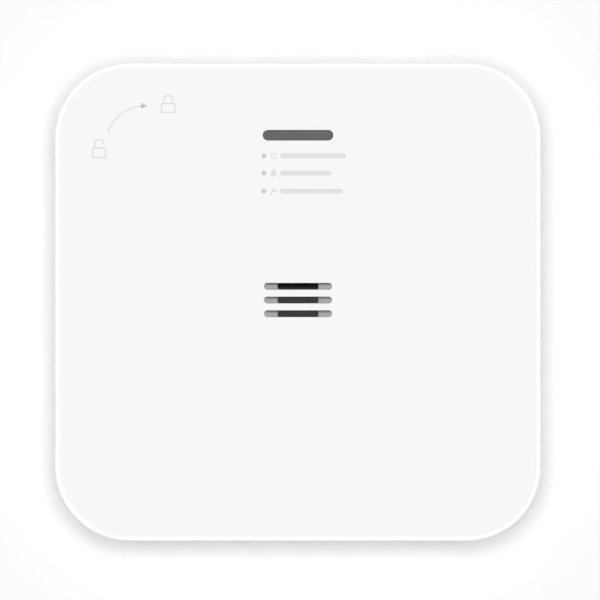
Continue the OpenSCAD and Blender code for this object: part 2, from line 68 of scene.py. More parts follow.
Spot = tuple[float, float]
Outline = list[Spot]
Point = tuple[float, float, float]
Step = tuple[float, float]
Loop = list[int]
Colour = tuple[float, float, float]
Shape = Callable[[float], Outline]
Placing = Callable[[float, float, float], Point]


class Facing(Enum):
    """Which way a flat face looks: its two drawing axes, and whether its loops turn the other way."""

    FRONT = (0, 1, False)
    BACK = (0, 1, True)
    RIGHT = (1, 2, False)
    LEFT = (1, 2, True)
    BOTTOM = (0, 2, False)
    TOP = (0, 2, True)

    def place(self, outline: Outline, level: float) -> list[Point]:
        """Puts an outline at a level along the axis that the face looks along.

        Args:
            outline: Corners on the face's two drawing axes, anticlockwise.
            level: Position along the third axis.

        Returns:
            The corners in the wall frame.
        """
        first, second, flipped = self.value
        placed = []
        for u, v in reversed(outline) if flipped else outline:
            point = [level, level, level]
            point[first], point[second] = u, v
            placed.append(tuple(point))
        return placed


class Body(Enum):
    """Bodies that the modelled pieces move with."""

    BRACKET = "bracket"
    DETECTOR = "detector"
    BUTTON = "button"


@dataclass(frozen=True)
class Span:
    """Room that a CAD node takes in the wall frame."""

    left: float
    right: float
    low: float
    high: float
    back: float
    front: float

    @classmethod
    def of(cls, node: str) -> "Span":
        """Reads the room of the CAD node of that name."""
        lowest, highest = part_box(node)
        return cls(
            lowest.x / MM, highest.x / MM, lowest.z / MM, highest.z / MM, -highest.y / MM, -lowest.y / MM
        )

    @property
    def width(self) -> float:
        """Size along x."""
        return self.right - self.left

    @property
    def height(self) -> float:
        """Size along y."""
        return self.high - self.low

    @property
    def mid_x(self) -> float:
        """Middle along x."""
        return (self.left + self.right) / 2

    @property
    def mid_y(self) -> float:
        """Middle along y."""
        return (self.low + self.high) / 2

    @property
    def mid_z(self) -> float:
        """Middle along z."""
        return (self.back + self.front) / 2


# ---------- outlines ----------


def arc(cx: float, cy: float, radius: float, start: float, end: float, steps: int) -> Outline:
    """Draws an arc.

    Args:
        cx: Centre along the first axis.
        cy: Centre along the second axis.
        radius: Radius.
        start: First angle, in degrees.
        end: Last angle, in degrees.
        steps: Number of chords.

    Returns:
        Both ends and the points between them.
    """
    angles = [math.radians(start + (end - start) * k / steps) for k in range(steps + 1)]
    return [(cx + radius * math.cos(a), cy + radius * math.sin(a)) for a in angles]


def rounded(width: float, height: float, radius: float, steps: int, cx: float, cy: float) -> Outline:
    """Draws a rectangle with round corners that starts at the upper end of its right side.

    Args:
        width: Size along the first axis.
        height: Size along the second axis.
        radius: Corner radius.
        steps: Chords in each corner.
        cx: Centre along the first axis.
        cy: Centre along the second axis.

    Returns:
        The closed outline.
    """
    dx, dy = width / 2 - radius, height / 2 - radius
    corners = [(dx, dy), (-dx, dy), (-dx, -dy), (dx, -dy)]
    return [
        spot
        for k, (x, y) in enumerate(corners)
        for spot in arc(cx + x, cy + y, radius, 90 * k, 90 * k + 90, steps)
    ]


def stadium(length: float, width: float, cx: float, cy: float) -> Outline:
    """Draws a bar with round ends along the first axis.

    Args:
        length: Size along the first axis.
        width: Size along the second axis.
        cx: Centre along the first axis.
        cy: Centre along the second axis.

    Returns:
        The closed outline.
    """
    nearly_half = 0.495
    return rounded(length, width, nearly_half * width, END_STEPS, cx, cy)


def circle(radius: float, count: int, cx: float = 0.0, cy: float = 0.0) -> Outline:
    """Draws a circle of that many chords."""
    return arc(cx, cy, radius, 0, 360, count)[:-1]


def sector(inner: float, outer: float, start: float, span: float, steps: int, grow: float) -> Outline:
    """Draws a part of a flat ring.

    Args:
        inner: Inner radius.
        outer: Outer radius.
        start: First angle, in degrees.
        span: Angle that it covers, in degrees.
        steps: Chords in each arc.
        grow: How far every edge moves outwards.

    Returns:
        The closed outline.
    """
    inner, outer = inner - grow, outer + grow
    in_turn, out_turn = math.degrees(grow / inner), math.degrees(grow / outer)
    far = arc(0, 0, outer, start - out_turn, start + span + out_turn, steps)
    near = arc(0, 0, inner, start + span + in_turn, start - in_turn, steps)
    return far + near


def bar_shape(length: float, width: float, cx: float = 0.0, cy: float = 0.0) -> Shape:
    """Gives the outline of a bar with round ends for a growth."""
    return lambda grow: stadium(length + 2 * grow, width + 2 * grow, cx, cy)


def box_shape(
    width: float, height: float, corner: float, steps: int = CORNER_STEPS, cx: float = 0.0, cy: float = 0.0
) -> Shape:
    """Gives the outline of a rectangle with round corners for a growth."""
    return lambda grow: rounded(width + 2 * grow, height + 2 * grow, corner + grow, steps, cx, cy)


def disc_shape(radius: float, count: int, cx: float = 0.0, cy: float = 0.0) -> Shape:
    """Gives the outline of a disc for a growth."""
    return lambda grow: circle(radius + grow, count, cx, cy)


def ring_shape(inner: float, outer: float, start: float, span: float, steps: int) -> Shape:
    """Gives the outline of a part of a flat ring for a growth."""
    return lambda grow: sector(inner, outer, start, span, steps, grow)


def mirrored(x: float, y: float) -> list[Spot]:
    """Mirrors a place from side to side and from top to bottom."""
    return [(sx * x, sy * y) for sx in (-1, 1) for sy in (-1, 1)]


def turned(outline: Outline, degrees: float) -> Outline:
    """Turns an outline round the middle."""
    c, s = math.cos(math.radians(degrees)), math.sin(math.radians(degrees))
    return [(c * x - s * y, s * x + c * y) for x, y in outline]


def shifted(outline: Sequence[Spot], dx: float, dy: float) -> Outline:
    """Moves an outline."""
    return [(x + dx, y + dy) for x, y in outline]


def stroke(path: Sequence[Spot], width: float) -> Outline:
    """Draws a line of some width along a path.

    Args:
        path: Points that the line follows.
        width: Width of the line.

    Returns:
        The closed outline, anticlockwise.
    """
    left, right = [], []
    for k, (x, y) in enumerate(path):
        before, after = path[max(k - 1, 0)], path[min(k + 1, len(path) - 1)]
        along = Vector((after[0] - before[0], after[1] - before[1])).normalized() * (width / 2)
        left.append((x - along.y, y + along.x))
        right.append((x + along.y, y - along.x))
    return right + left[::-1]


def lip(radius: float, level: float, way: float, steps: int = LIP_STEPS) -> list[Step]:
    """Rounds the edge between a face and a wall.

    Args:
        radius: Radius of the round.
        level: Level of the face.
        way: +1 or -1, the way in which the wall leaves the face.
        steps: Number of chords.

    Returns:
        How far the outline grows, and its level, from the face to the wall.
    """
    turns = [math.pi / 2 * k / steps for k in range(steps + 1)]
    return [(radius * (1 - math.sin(t)), level + way * radius * (1 - math.cos(t))) for t in turns]


def outer_lip(radius: float, level: float, way: float, steps: int = LIP_STEPS) -> list[Step]:
    """Rounds the outer edge of a block, from its face to its wall, with the same terms as lip."""
    return [(-grow, height) for grow, height in lip(radius, level, way, steps)]


def block_steps(low: float, high: float, soft: float) -> list[Step]:
    """Growth and level of each loop of a softened block, from its back face to its front face."""
    return outer_lip(soft, low, 1) + outer_lip(soft, high, -1)[::-1]


def hole_steps(low: float, high: float, soft: float) -> list[Step]:
    """Growth and level of each loop of a softened hole, from the front face to the back face."""
    return lip(soft, high, -1) + lip(soft, low, 1)[::-1]


def contains(outline: Outline, spot: Vector) -> bool:
    """Says whether a spot lies inside an outline."""
    inside = False
    for k, (x1, y1) in enumerate(outline):
        x0, y0 = outline[k - 1]
        if (y0 > spot.y) != (y1 > spot.y) and spot.x < (x1 - x0) * (spot.y - y0) / (y1 - y0) + x0:
            inside = not inside
    return inside


# ---------- skins ----------


class Skin:
    """Closed surface that is gathered loop by loop in the wall frame."""

    def __init__(self) -> None:
        """Starts an empty surface."""
        self.points: list[Point] = []
        self.faces: list[tuple[int, ...]] = []
        self.paints: list[int] = []
        self.paint = 0

    def loop(self, points: Iterable[Point]) -> Loop:
        """Adds points and returns their numbers."""
        start = len(self.points)
        self.points.extend(points)
        return list(range(start, len(self.points)))

    def face(self, corners: Sequence[int]) -> None:
        """Adds one face in the present paint."""
        self.faces.append(tuple(corners))
        self.paints.append(self.paint)

    def loft(self, loops: Sequence[Loop], gaps: frozenset[tuple[int, int]] = frozenset()) -> None:
        """Joins each loop to the next.

        Args:
            loops: Loops of equal length.
            gaps: (band, segment) pairs that stay open.
        """
        for band, (low, high) in enumerate(zip(loops, loops[1:])):
            for k in range(len(low)):
                if (band, k) not in gaps:
                    after = (k + 1) % len(low)
                    self.face((low[k], low[after], high[after], high[k]))

    def fill(self, loops: Sequence[Loop], facing: Facing) -> None:
        """Fills a flat region.

        Args:
            loops: The outer loop, then the loops of the holes.
            facing: Which way the region looks.
        """
        first, second, flipped = facing.value
        numbers = [n for loop in loops for n in loop]
        flat = [Vector((self.points[n][first], self.points[n][second])) for n in numbers]
        edges, outlines, start = [], [], 0
        for loop in loops:
            count = len(loop)
            edges += [(start + k, start + (k + 1) % count) for k in range(count)]
            outlines.append([tuple(spot) for spot in flat[start:start + count]])
            start += count
        _, _, triangles, source, _, _ = delaunay_2d_cdt(flat, edges, [], 0, WELD_GAP)
        for triangle in triangles:
            corners = [source[c][0] for c in triangle]
            a, b, c = (flat[n] for n in corners)
            middle = (a + b + c) / 3
            if not contains(outlines[0], middle) or any(contains(hole, middle) for hole in outlines[1:]):
                continue
            if ((b - a).cross(c - a) < 0) != flipped:
                corners.reverse()
            self.face([numbers[n] for n in corners])

    def shaft(self, facing: Facing, outline: Shape, steps: Sequence[Step]) -> tuple[Loop, Loop]:
        """Runs a wall from a face inwards or outwards.

        Args:
            facing: Which way the face looks.
            outline: Gives the outline for a growth.
            steps: Growth and level of each loop.

        Returns:
            The first loop and the last one.
        """
        loops = [self.loop(facing.place(outline(grow), level)) for grow, level in steps]
        self.loft(loops)
        return loops[0], loops[-1]

    def block(
        self, outline: Shape, low: float, high: float, soft: float, holes: Sequence[Shape] = ()
    ) -> None:
        """Adds a closed block with softened edges.

        Args:
            outline: Gives the block's outline for a growth.
            low: Level of its back face.
            high: Level of its front face.
            soft: Radius of its edges.
            holes: Outlines of the holes that go through it.
        """
        back, front = self.shaft(Facing.FRONT, outline, block_steps(low, high, soft))
        tubes = [self.shaft(Facing.FRONT, hole, hole_steps(low, high, soft)) for hole in holes]
        self.fill([front, *(tube[0] for tube in tubes)], Facing.FRONT)
        self.fill([back, *(tube[1] for tube in tubes)], Facing.BACK)

    def sweep(self, profile: Sequence[Spot], start: float, span: float, steps: int) -> None:
        """Sweeps a section round the middle of the wall frame.

        Args:
            profile: (radius, z) corners, anticlockwise.
            start: First angle, in degrees.
            span: Angle that it covers, in degrees.
            steps: Number of chords.
        """
        angles = [math.radians(start + span * k / steps) for k in range(steps + 1)]
        rows = [self.loop((r * math.cos(a), r * math.sin(a), z) for r, z in profile) for a in angles]
        for row, following in zip(rows, rows[1:]):
            for k in range(len(row)):
                after = (k + 1) % len(row)
                self.face((row[k], following[k], following[after], row[after]))
        self.face(rows[0])
        self.face(rows[-1][::-1])

    def lathe(self, profile: Sequence[Step], place: Placing, count: int) -> list[Loop]:
        """Turns a profile round an axis.

        Args:
            profile: (radius, level) steps along the axis.
            place: Gives the point for two cross coordinates and a level.
            count: Chords in each ring.

        Returns:
            The rings.
        """
        rings = [self.loop(place(x, y, level) for x, y in circle(radius, count)) for radius, level in profile]
        self.loft(rings)
        return rings

    def piece(
        self, name: str, body: Body, slot: str, paints: Sequence[bpy.types.Material],
        replaces: Sequence[str] = (),
    ) -> bpy.types.Object:
        """Makes the piece and fixes it to its body.

        Args:
            name: Name of the piece.
            body: Body that it moves with.
            slot: Name of a finish in the record; not used.
            paints: Materials of its faces.
            replaces: CAD nodes that it stands for.

        Returns:
            The finished object.
        """
        mesh = bpy.data.meshes.new(name)
        mesh.from_pydata([(x * MM, -z * MM, y * MM) for x, y, z in self.points], [], self.faces)
        for paint in paints:
            mesh.materials.append(paint)
        mesh.polygons.foreach_set("material_index", self.paints)
        mesh.polygons.foreach_set("use_smooth", [True] * len(mesh.polygons))
        mesh.update()
        mesh.set_sharp_from_angle(angle=SHARP_ANGLE)
        piece = bpy.data.objects.new(name, mesh)
        bpy.context.scene.collection.objects.link(piece)
        even = piece.modifiers.new("even_shading", "WEIGHTED_NORMAL")
        even.keep_sharp = True
        even.weight = FLAT_WEIGHT
        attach(piece, body.value)
        if replaces:
            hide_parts(*replaces)
        log.info("%s: %d faces on %s", name, len(self.faces), body.value)
        return piece


# ---------- shader graphs ----------


class Signal:
    """Output of a shader node that takes part in expressions."""

    def __init__(self, graph: "Graph", socket: bpy.types.NodeSocket) -> None:
        """Wraps a socket of a graph."""
        self.graph = graph
        self.socket = socket

    def _math(self, operation: str, left: "Signal | float", right: "Signal | float") -> "Signal":
        """Adds a Math node on two values."""
        return self.graph.add("ShaderNodeMath", {"operation": operation}, {0: left, 1: right})

    def __add__(self, other: "Signal | float") -> "Signal":
        """Sum."""
        return self._math("ADD", self, other)

    def __radd__(self, other: float) -> "Signal":
        """Sum with the number on the left."""
        return self._math("ADD", other, self)

    def __sub__(self, other: "Signal | float") -> "Signal":
        """Difference."""
        return self._math("SUBTRACT", self, other)

    def __rsub__(self, other: float) -> "Signal":
        """Difference from the number on the left."""
        return self._math("SUBTRACT", other, self)

    def __mul__(self, other: "Signal | float") -> "Signal":
        """Product."""
        return self._math("MULTIPLY", self, other)

    def __rmul__(self, other: float) -> "Signal":
        """Product with the number on the left."""
        return self._math("MULTIPLY", other, self)

    def __truediv__(self, other: "Signal | float") -> "Signal":
        """Quotient."""
        return self._math("DIVIDE", self, other)

    def above(self, edge: float, blur: float) -> "Signal":
        """Mask that rises from 0 to 1 round an edge, over twice the blur."""
        ramp = (self - edge) / (2 * blur) + 0.5
        return self.graph.add("ShaderNodeClamp", {}, {"Value": ramp})

    def within(self, low: float, high: float, blur: float) -> "Signal":
        """Mask that is 1 between two edges."""
        return self.above(low, blur) * (1 - self.above(high, blur))

    def distance(self, centre: float) -> "Signal":
        """How far the value is from a number."""
        return self._math("ABSOLUTE", self - centre, 0.0)

    def wave(self) -> "Signal":
        """Sine of the value."""
        return self._math("SINE", self, 0.0)

    def fraction(self) -> "Signal":
        """What is left of the value above its whole number."""
        return self._math("FRACT", self, 0.0)


class Graph:
    """Node tree of one material or world, with the shader that it starts with."""

    def __init__(self, name: str, world: bool = False) -> None:
        """Starts a material or a world that holds only its shader and its output."""
        self.holder = (bpy.data.worlds if world else bpy.data.materials).new(name)
        self.holder.use_nodes = True
        self.tree = self.holder.node_tree
        self.shader = next(n for n in self.tree.nodes if n.type in ("BSDF_PRINCIPLED", "BACKGROUND"))

    def add(
        self, kind: str, settings: dict[str, object], inputs: dict[str | int, object], output: str | int = 0
    ) -> Signal:
        """Adds a node.

        Args:
            kind: Blender's name for the node's type.
            settings: Properties to set before the sockets, such as an operation.
            inputs: Values or links of its sockets.
            output: The output to go on with.

        Returns:
            The chosen output.
        """
        node = self.tree.nodes.new(kind)
        for name, value in settings.items():
            setattr(node, name, value)
        for name, value in inputs.items():
            if isinstance(value, Signal):
                self.tree.links.new(value.socket, node.inputs[name])
            else:
                node.inputs[name].default_value = value
        return Signal(self, node.outputs[output])

    def place(self) -> Signal:
        """Position on the piece, in metres."""
        return self.add("ShaderNodeTexCoord", {}, {}, "Object")

    def axes(self, place: Signal) -> tuple[Signal, Signal, Signal]:
        """Position split into its three numbers, in millimetres: right, out of the wall, and up."""
        scaled = self.add("ShaderNodeVectorMath", {"operation": "SCALE"}, {0: place, "Scale": 1 / MM})
        return (
            self.add("ShaderNodeSeparateXYZ", {}, {0: scaled}, 0),
            -1.0 * self.add("ShaderNodeSeparateXYZ", {}, {0: scaled}, 1),
            self.add("ShaderNodeSeparateXYZ", {}, {0: scaled}, 2),
        )

    def outward(self) -> Signal:
        """How squarely the surface faces the room: 1 on the front and 0 on the sides."""
        normal = self.add("ShaderNodeTexCoord", {}, {}, "Normal")
        return -1.0 * self.add("ShaderNodeSeparateXYZ", {}, {0: normal}, 1)

    def noise(self, size: float, detail: float = 2.0, stretch: Point = (1.0, 1.0, 1.0)) -> Signal:
        """Noise whose grains are about that many millimetres across.

        Args:
            size: Size of a grain.
            detail: Number of finer layers.
            stretch: How much finer the grains are along each axis.

        Returns:
            A value round 0.5.
        """
        place = self.add("ShaderNodeVectorMath", {"operation": "MULTIPLY"}, {0: self.place(), 1: stretch})
        return self.add(
            "ShaderNodeTexNoise", {}, {"Vector": place, "Scale": 1 / (size * MM), "Detail": detail}
        )

    def cells(self, size: float, feature: str = "F1") -> Signal:
        """Distance in a pattern of cells that are about that many millimetres across."""
        return self.add(
            "ShaderNodeTexVoronoi", {"feature": feature}, {"Vector": self.place(), "Scale": 1 / (size * MM)}
        )

    def blend(self, factor: Signal, first: Signal | Colour, second: Signal | Colour) -> Signal:
        """Mixes two colours."""
        first, second = (c if isinstance(c, Signal) else (*c, 1.0) for c in (first, second))
        return self.add("ShaderNodeMix", {"data_type": "RGBA"}, {0: factor, 6: first, 7: second}, 2)

    def varied(self, factor: Signal, colour: Colour, share: float) -> Signal:
        """Makes a colour darker or lighter by up to that share, as the factor goes from 0 to 1."""
        return self.blend(factor, scaled(colour, 1 - share), scaled(colour, 1 + share))

    def relief(self, height: Signal, depth: float) -> Signal:
        """Surface normal of a relief of that depth in millimetres."""
        return self.add("ShaderNodeBump", {}, {"Height": height, "Strength": 1.0, "Distance": depth * MM})

    def dress(self, values: dict[str, object]) -> bpy.types.Material | bpy.types.World:
        """Sets or links the shader's own sockets.

        Args:
            values: Value or link for each socket by name.

        Returns:
            The finished material or world.
        """
        for name, value in values.items():
            socket = self.shader.inputs[name]
            if isinstance(value, Signal):
                self.tree.links.new(value.socket, socket)
            elif isinstance(value, tuple):
                socket.default_value = (*value, 1.0)
            else:
                socket.default_value = value
        return self.holder

    def show(self, shader: Signal) -> bpy.types.Material:
        """Puts another shader in the place of the one that the material starts with."""
        self.tree.nodes.remove(self.shader)
        output = next(n for n in self.tree.nodes if n.type == "OUTPUT_MATERIAL")
        self.tree.links.new(shader.socket, output.inputs["Surface"])
        return self.holder


def scaled(colour: Colour, share: float) -> Colour:
    """Makes a colour lighter or darker."""
    return tuple(min(1.0, channel * share) for channel in colour)


# ---------- finishes ----------

FLOW_SIZE = 9.0
GRAIN_SIZE = 0.12


@dataclass(frozen=True)
class MouldedPlastic:
    """Moulded plastic with a fine spark-eroded grain and a faint flow mottle."""

    name: str
    colour: Colour
    roughness: float = 0.5
    grain: float = GRAIN_SIZE
    depth: float = 0.006
    mottle: float = 0.012
    spread: float = 0.1

    def material(self) -> bpy.types.Material:
        """Builds the finish."""
        graph = Graph(self.name)
        flow = graph.noise(FLOW_SIZE)
        grain = graph.noise(self.grain)
        return graph.dress({
            "Base Color": graph.varied(flow, self.colour, self.mottle),
            "Roughness": self.roughness - self.spread / 2 + self.spread * grain,
            "Normal": graph.relief(grain, self.depth),
            "Specular IOR Level": 0.35,
        })


@dataclass(frozen=True)
class GroovedShell:
    """White shell plastic with a painted highlight that makes its rounded edges lighter, and painted shade
    that makes its sunk grooves grey.

    The painted shade on a groove's floor deepens into a painted shadow under its upper edge.
    """

    name: str
    colour: Colour
    # colour of the painted highlight on the rounded edges
    edge: Colour
    # colours of the painted shade on the groove floors and of the darker painted shadow under each groove's
    # upper edge
    floor: Colour
    painted_shade: Colour
    face: float
    middle: float
    pitch: float = 2.82
    mottle: float = 0.006
    depths: Spot = (0.25, 0.7)
    last_depth: float = 2.6
    reach: float = 11.0
    blur: float = 0.1
    painted_shade_from: float = 0.4
    painted_shade_blur: float = 0.35
    highlight_turn: Spot = (0.12, 0.95)
    highlight_blur: float = 0.05

    def material(self) -> bpy.types.Material:
        """Builds the finish."""
        graph = Graph(self.name)
        right, out, up = graph.axes(graph.place())
        flow = graph.noise(FLOW_SIZE)
        grain = graph.noise(GRAIN_SIZE)
        first, full = self.depths
        # mask of the sunk groove floors near the middle of the face, which take painted shade
        sunk = (self.face - out).above((first + full) / 2, (full - first) / 2)
        span = (-self.reach, self.reach, self.blur)
        near = right.within(*span) * up.within(*span)
        outside = out.above(self.face - self.last_depth, self.blur)
        # painted shade on the groove floors: grey, deepening into a painted shadow under each groove's upper
        # edge
        height = (((up - self.middle) / self.pitch + 0.5).fraction() - 0.5) * self.pitch
        floor = graph.blend(height.above(self.painted_shade_from, self.painted_shade_blur), self.floor, self.painted_shade)
        flat = graph.varied(flow, self.colour, self.mottle)
        # painted highlight: surfaces that turn away from the front, on the rounded edges, take the lighter
        # edge colour
        plain = graph.blend(graph.outward().within(*self.highlight_turn, self.highlight_blur), flat, self.edge)
        return graph.dress({
            "Base Color": graph.blend(sunk * near * outside, plain, floor),
            "Roughness": 0.4 + 0.08 * grain,
            "Normal": graph.relief(grain, 0.005),
            "Specular IOR Level": 0.5,
        })


@dataclass(frozen=True)
class SmokedLens:
    """Smoked lens with fine upright ribs on its inner side that show through faintly."""

    name: str
    colour: Colour
    rib_pitch: float = 0.6

    def material(self) -> bpy.types.Material:
        """Builds the finish."""
        graph = Graph(self.name)
        right, _, _ = graph.axes(graph.place())
        ribs = (right * (2 * math.pi / self.rib_pitch)).wave() * 0.5 + 0.5
        haze = graph.noise(2.5)
        return graph.dress({
            "Base Color": graph.varied(ribs * 0.5 + haze * 0.5, self.colour, 0.07),
            "Roughness": 0.58 + 0.08 * haze,
            "Normal": graph.relief(graph.noise(0.8, 1.0), 0.002),
            "Specular IOR Level": 0.25,
        })


@dataclass(frozen=True)
class ClearResin:
    """Clear or tinted moulded resin with a faint haze."""

    name: str
    colour: Colour
    clear: float = 0.85

    def material(self) -> bpy.types.Material:
        """Builds the finish."""
        graph = Graph(self.name)
        haze = graph.noise(1.4)
        return graph.dress({
            "Base Color": graph.varied(haze, self.colour, 0.05),
            "Roughness": 0.08 + 0.12 * haze,
            "Normal": graph.relief(haze, 0.01),
            "Transmission Weight": self.clear,
            "IOR": 1.49,
        })


@dataclass(frozen=True)
class WovenThread:
    """Dark thread with a fine twist, made darker behind the top groove by painted shade."""

    name: str
    colour: Colour
    # colour of the painted shade on the thread behind the top groove
    painted_shade: Colour
    painted_shade_from: float
    painted_shade_blur: float = 0.35

    def material(self) -> bpy.types.Material:
        """Builds the finish."""
        graph = Graph(self.name)
        fibre = graph.noise(0.05)
        _, _, up = graph.axes(graph.place())
        plain = graph.varied(graph.noise(1.2), self.colour, 0.1)
        return graph.dress({
            # painted shade: above a height, behind the top groove, the thread takes the darker colour
            "Base Color": graph.blend(up.above(self.painted_shade_from, self.painted_shade_blur), plain, self.painted_shade),
            "Roughness": 0.6 + 0.2 * fibre,
            "Normal": graph.relief(fibre, 0.01),
        })


@dataclass(frozen=True)
class SolderMask:
    """Circuit board lacquer over copper tracks and ground fill."""

    name: str
    colour: Colour
    track: Colour
    pitch: float = 2.4

    def material(self) -> bpy.types.Material:
        """Builds the finish."""
        graph = Graph(self.name)
        copper = graph.cells(self.pitch, "DISTANCE_TO_EDGE").above(0.08, 0.015)
        speck = graph.noise(0.6)
        return graph.dress({
            "Base Color": graph.blend(copper * 0.8 + speck * 0.2, self.track, self.colour),
            "Roughness": 0.28 + 0.12 * speck,
            "Normal": graph.relief(copper, 0.03),
            "Coat Weight": 0.5,
        })


@dataclass(frozen=True)
class Metal:
    """Metal with drawn or brushed lines along one axis and a little tarnish."""

    name: str
    colour: Colour
    roughness: float = 0.3
    line: float = 0.96
    stretch: Point = (1.0, 12.0, 12.0)
    tarnish: float = 0.15

    def material(self) -> bpy.types.Material:
        """Builds the finish."""
        graph = Graph(self.name)
        lines = graph.noise(self.line, 3.0, self.stretch)
        stain = graph.noise(3.0, 3.0)
        return graph.dress({
            "Base Color": graph.blend(stain, self.colour, scaled(self.colour, 1 - self.tarnish)),
            "Metallic": 1.0,
            "Roughness": self.roughness - 0.06 + 0.12 * lines + 0.06 * stain,
            "Normal": graph.relief(lines, 0.006),
        })


@dataclass(frozen=True)
class Foam:
    """Closed-cell foam with pinhole cells."""

    name: str
    colour: Colour
    cell: float = 0.35

    def material(self) -> bpy.types.Material:
        """Builds the finish."""
        graph = Graph(self.name)
        cells = graph.cells(self.cell)
        return graph.dress({
            "Base Color": graph.varied(cells, self.colour, 0.4),
            "Roughness": 0.85,
            "Normal": graph.relief(cells, 0.08),
        })


@dataclass(frozen=True)
class CellSleeve:
    """Shrink sleeve of a battery cell with a plain band round its positive end."""

    name: str
    colour: Colour
    band: Colour
    middle: float
    way: float
    line: Colour = (0.75, 0.75, 0.74)
    band_start: float = 10.0
    line_gaps: Spot = (1.4, 0.8)
    blur: float = 0.03

    def material(self) -> bpy.types.Material:
        """Builds the finish."""
        graph = Graph(self.name)
        right, _, _ = graph.axes(graph.place())
        along = (right - self.middle) * self.way
        band = along.above(self.band_start, self.blur)
        far, near = self.line_gaps
        line = along.within(self.band_start - far, self.band_start - near, self.blur)
        scuff = graph.noise(0.8, 4.0, (1.0, 4.0, 4.0))
        base = graph.blend(scuff, scaled(self.colour, 0.85), scaled(self.colour, 1.2))
        return graph.dress({
            "Base Color": graph.blend(band, graph.blend(line, base, self.line), self.band),
            "Roughness": 0.22 + 0.18 * scuff,
            "Normal": graph.relief(scuff, 0.008),
            "Metallic": band * 0.7,
            "Coat Weight": 0.4,
        })


@dataclass(frozen=True)
class LabelFilm:
    """Satin label film with a printed frame and plain grey bars in place of words."""

    name: str
    room: Span
    paper: Colour
    ink: Colour
    margin: float = 1.4
    frame_w: float = 0.25
    rows: int = 6
    row_top: float = 2.2
    row_pitch: float = 2.3
    row_h: float = 0.9
    row_gaps: Spot = (3.2, 4.0)
    indent: float = 5.0
    blur: float = 0.04

    def material(self) -> bpy.types.Material:
        """Builds the finish."""
        graph = Graph(self.name)
        right, _, up = graph.axes(graph.place())
        room, blur = self.room, self.blur
        across, aloft = right.distance(room.mid_x), up.distance(room.mid_y)
        half_w, half_h = room.width / 2 - self.margin, room.height / 2 - self.margin

        def inside(inset: float) -> Signal:
            """Mask of the space inside the frame's outer edge, less an inset."""
            return (1 - across.above(half_w - inset, blur)) * (1 - aloft.above(half_h - inset, blur))

        marks = inside(0.0) - inside(self.frame_w)
        for row in range(self.rows):
            top = room.high - self.margin - self.row_top - row * self.row_pitch
            start = room.left + self.row_gaps[0]
            end = room.right - self.row_gaps[1] - self.indent * (row * 3 % 4)
            marks = marks + up.within(top - self.row_h, top, blur) * right.within(start, end, blur)
        fibre = graph.noise(0.5, 3.0)
        return graph.dress({
            "Base Color": graph.blend(marks, graph.varied(fibre, self.paper, 0.02), self.ink),
            "Roughness": 0.35 + 0.15 * fibre,
            "Normal": graph.relief(fibre, 0.004),
        })


@dataclass(frozen=True)
class Ink:
    """Pad-printed ink that is a little uneven."""

    name: str
    colour: Colour

    def material(self) -> bpy.types.Material:
        """Builds the finish."""
        graph = Graph(self.name)
        cover = graph.noise(0.25)
        return graph.dress({
            "Base Color": graph.varied(cover, self.colour, 0.03),
            "Roughness": 0.5 + 0.1 * cover,
            "Specular IOR Level": 0.35,
        })


# ---------- front cover ----------

SIDE_ORDER = (Facing.TOP, Facing.LEFT, Facing.BOTTOM, Facing.RIGHT)
OPPOSITE = {
    Facing.TOP: Facing.BOTTOM, Facing.BOTTOM: Facing.TOP, Facing.LEFT: Facing.RIGHT, Facing.RIGHT: Facing.LEFT
}


def side_segment(side: int) -> int:
    """Number of the long segment on one side of a rounded outline, in the order of SIDE_ORDER."""
    return side * (CORNER_STEPS + 1) + CORNER_STEPS


def patch(
    skin: Skin, loops: Sequence[Loop], band: int, side: int, holes: Sequence[Loop], facing: Facing
) -> None:
    """Fills the flat side that a loft left open, round its holes.

    Args:
        skin: Surface to add to.
        loops: Loops of the loft.
        band: Number of the band that holds the open side.
        side: Number of the side in the order of SIDE_ORDER.
        holes: Loops of the holes.
        facing: Which way the side looks.
    """
    low, high, segment = loops[band], loops[band + 1], side_segment(side)
    after = (segment + 1) % len(low)
    skin.fill([[low[segment], low[after], high[after], high[segment]], *holes], facing)


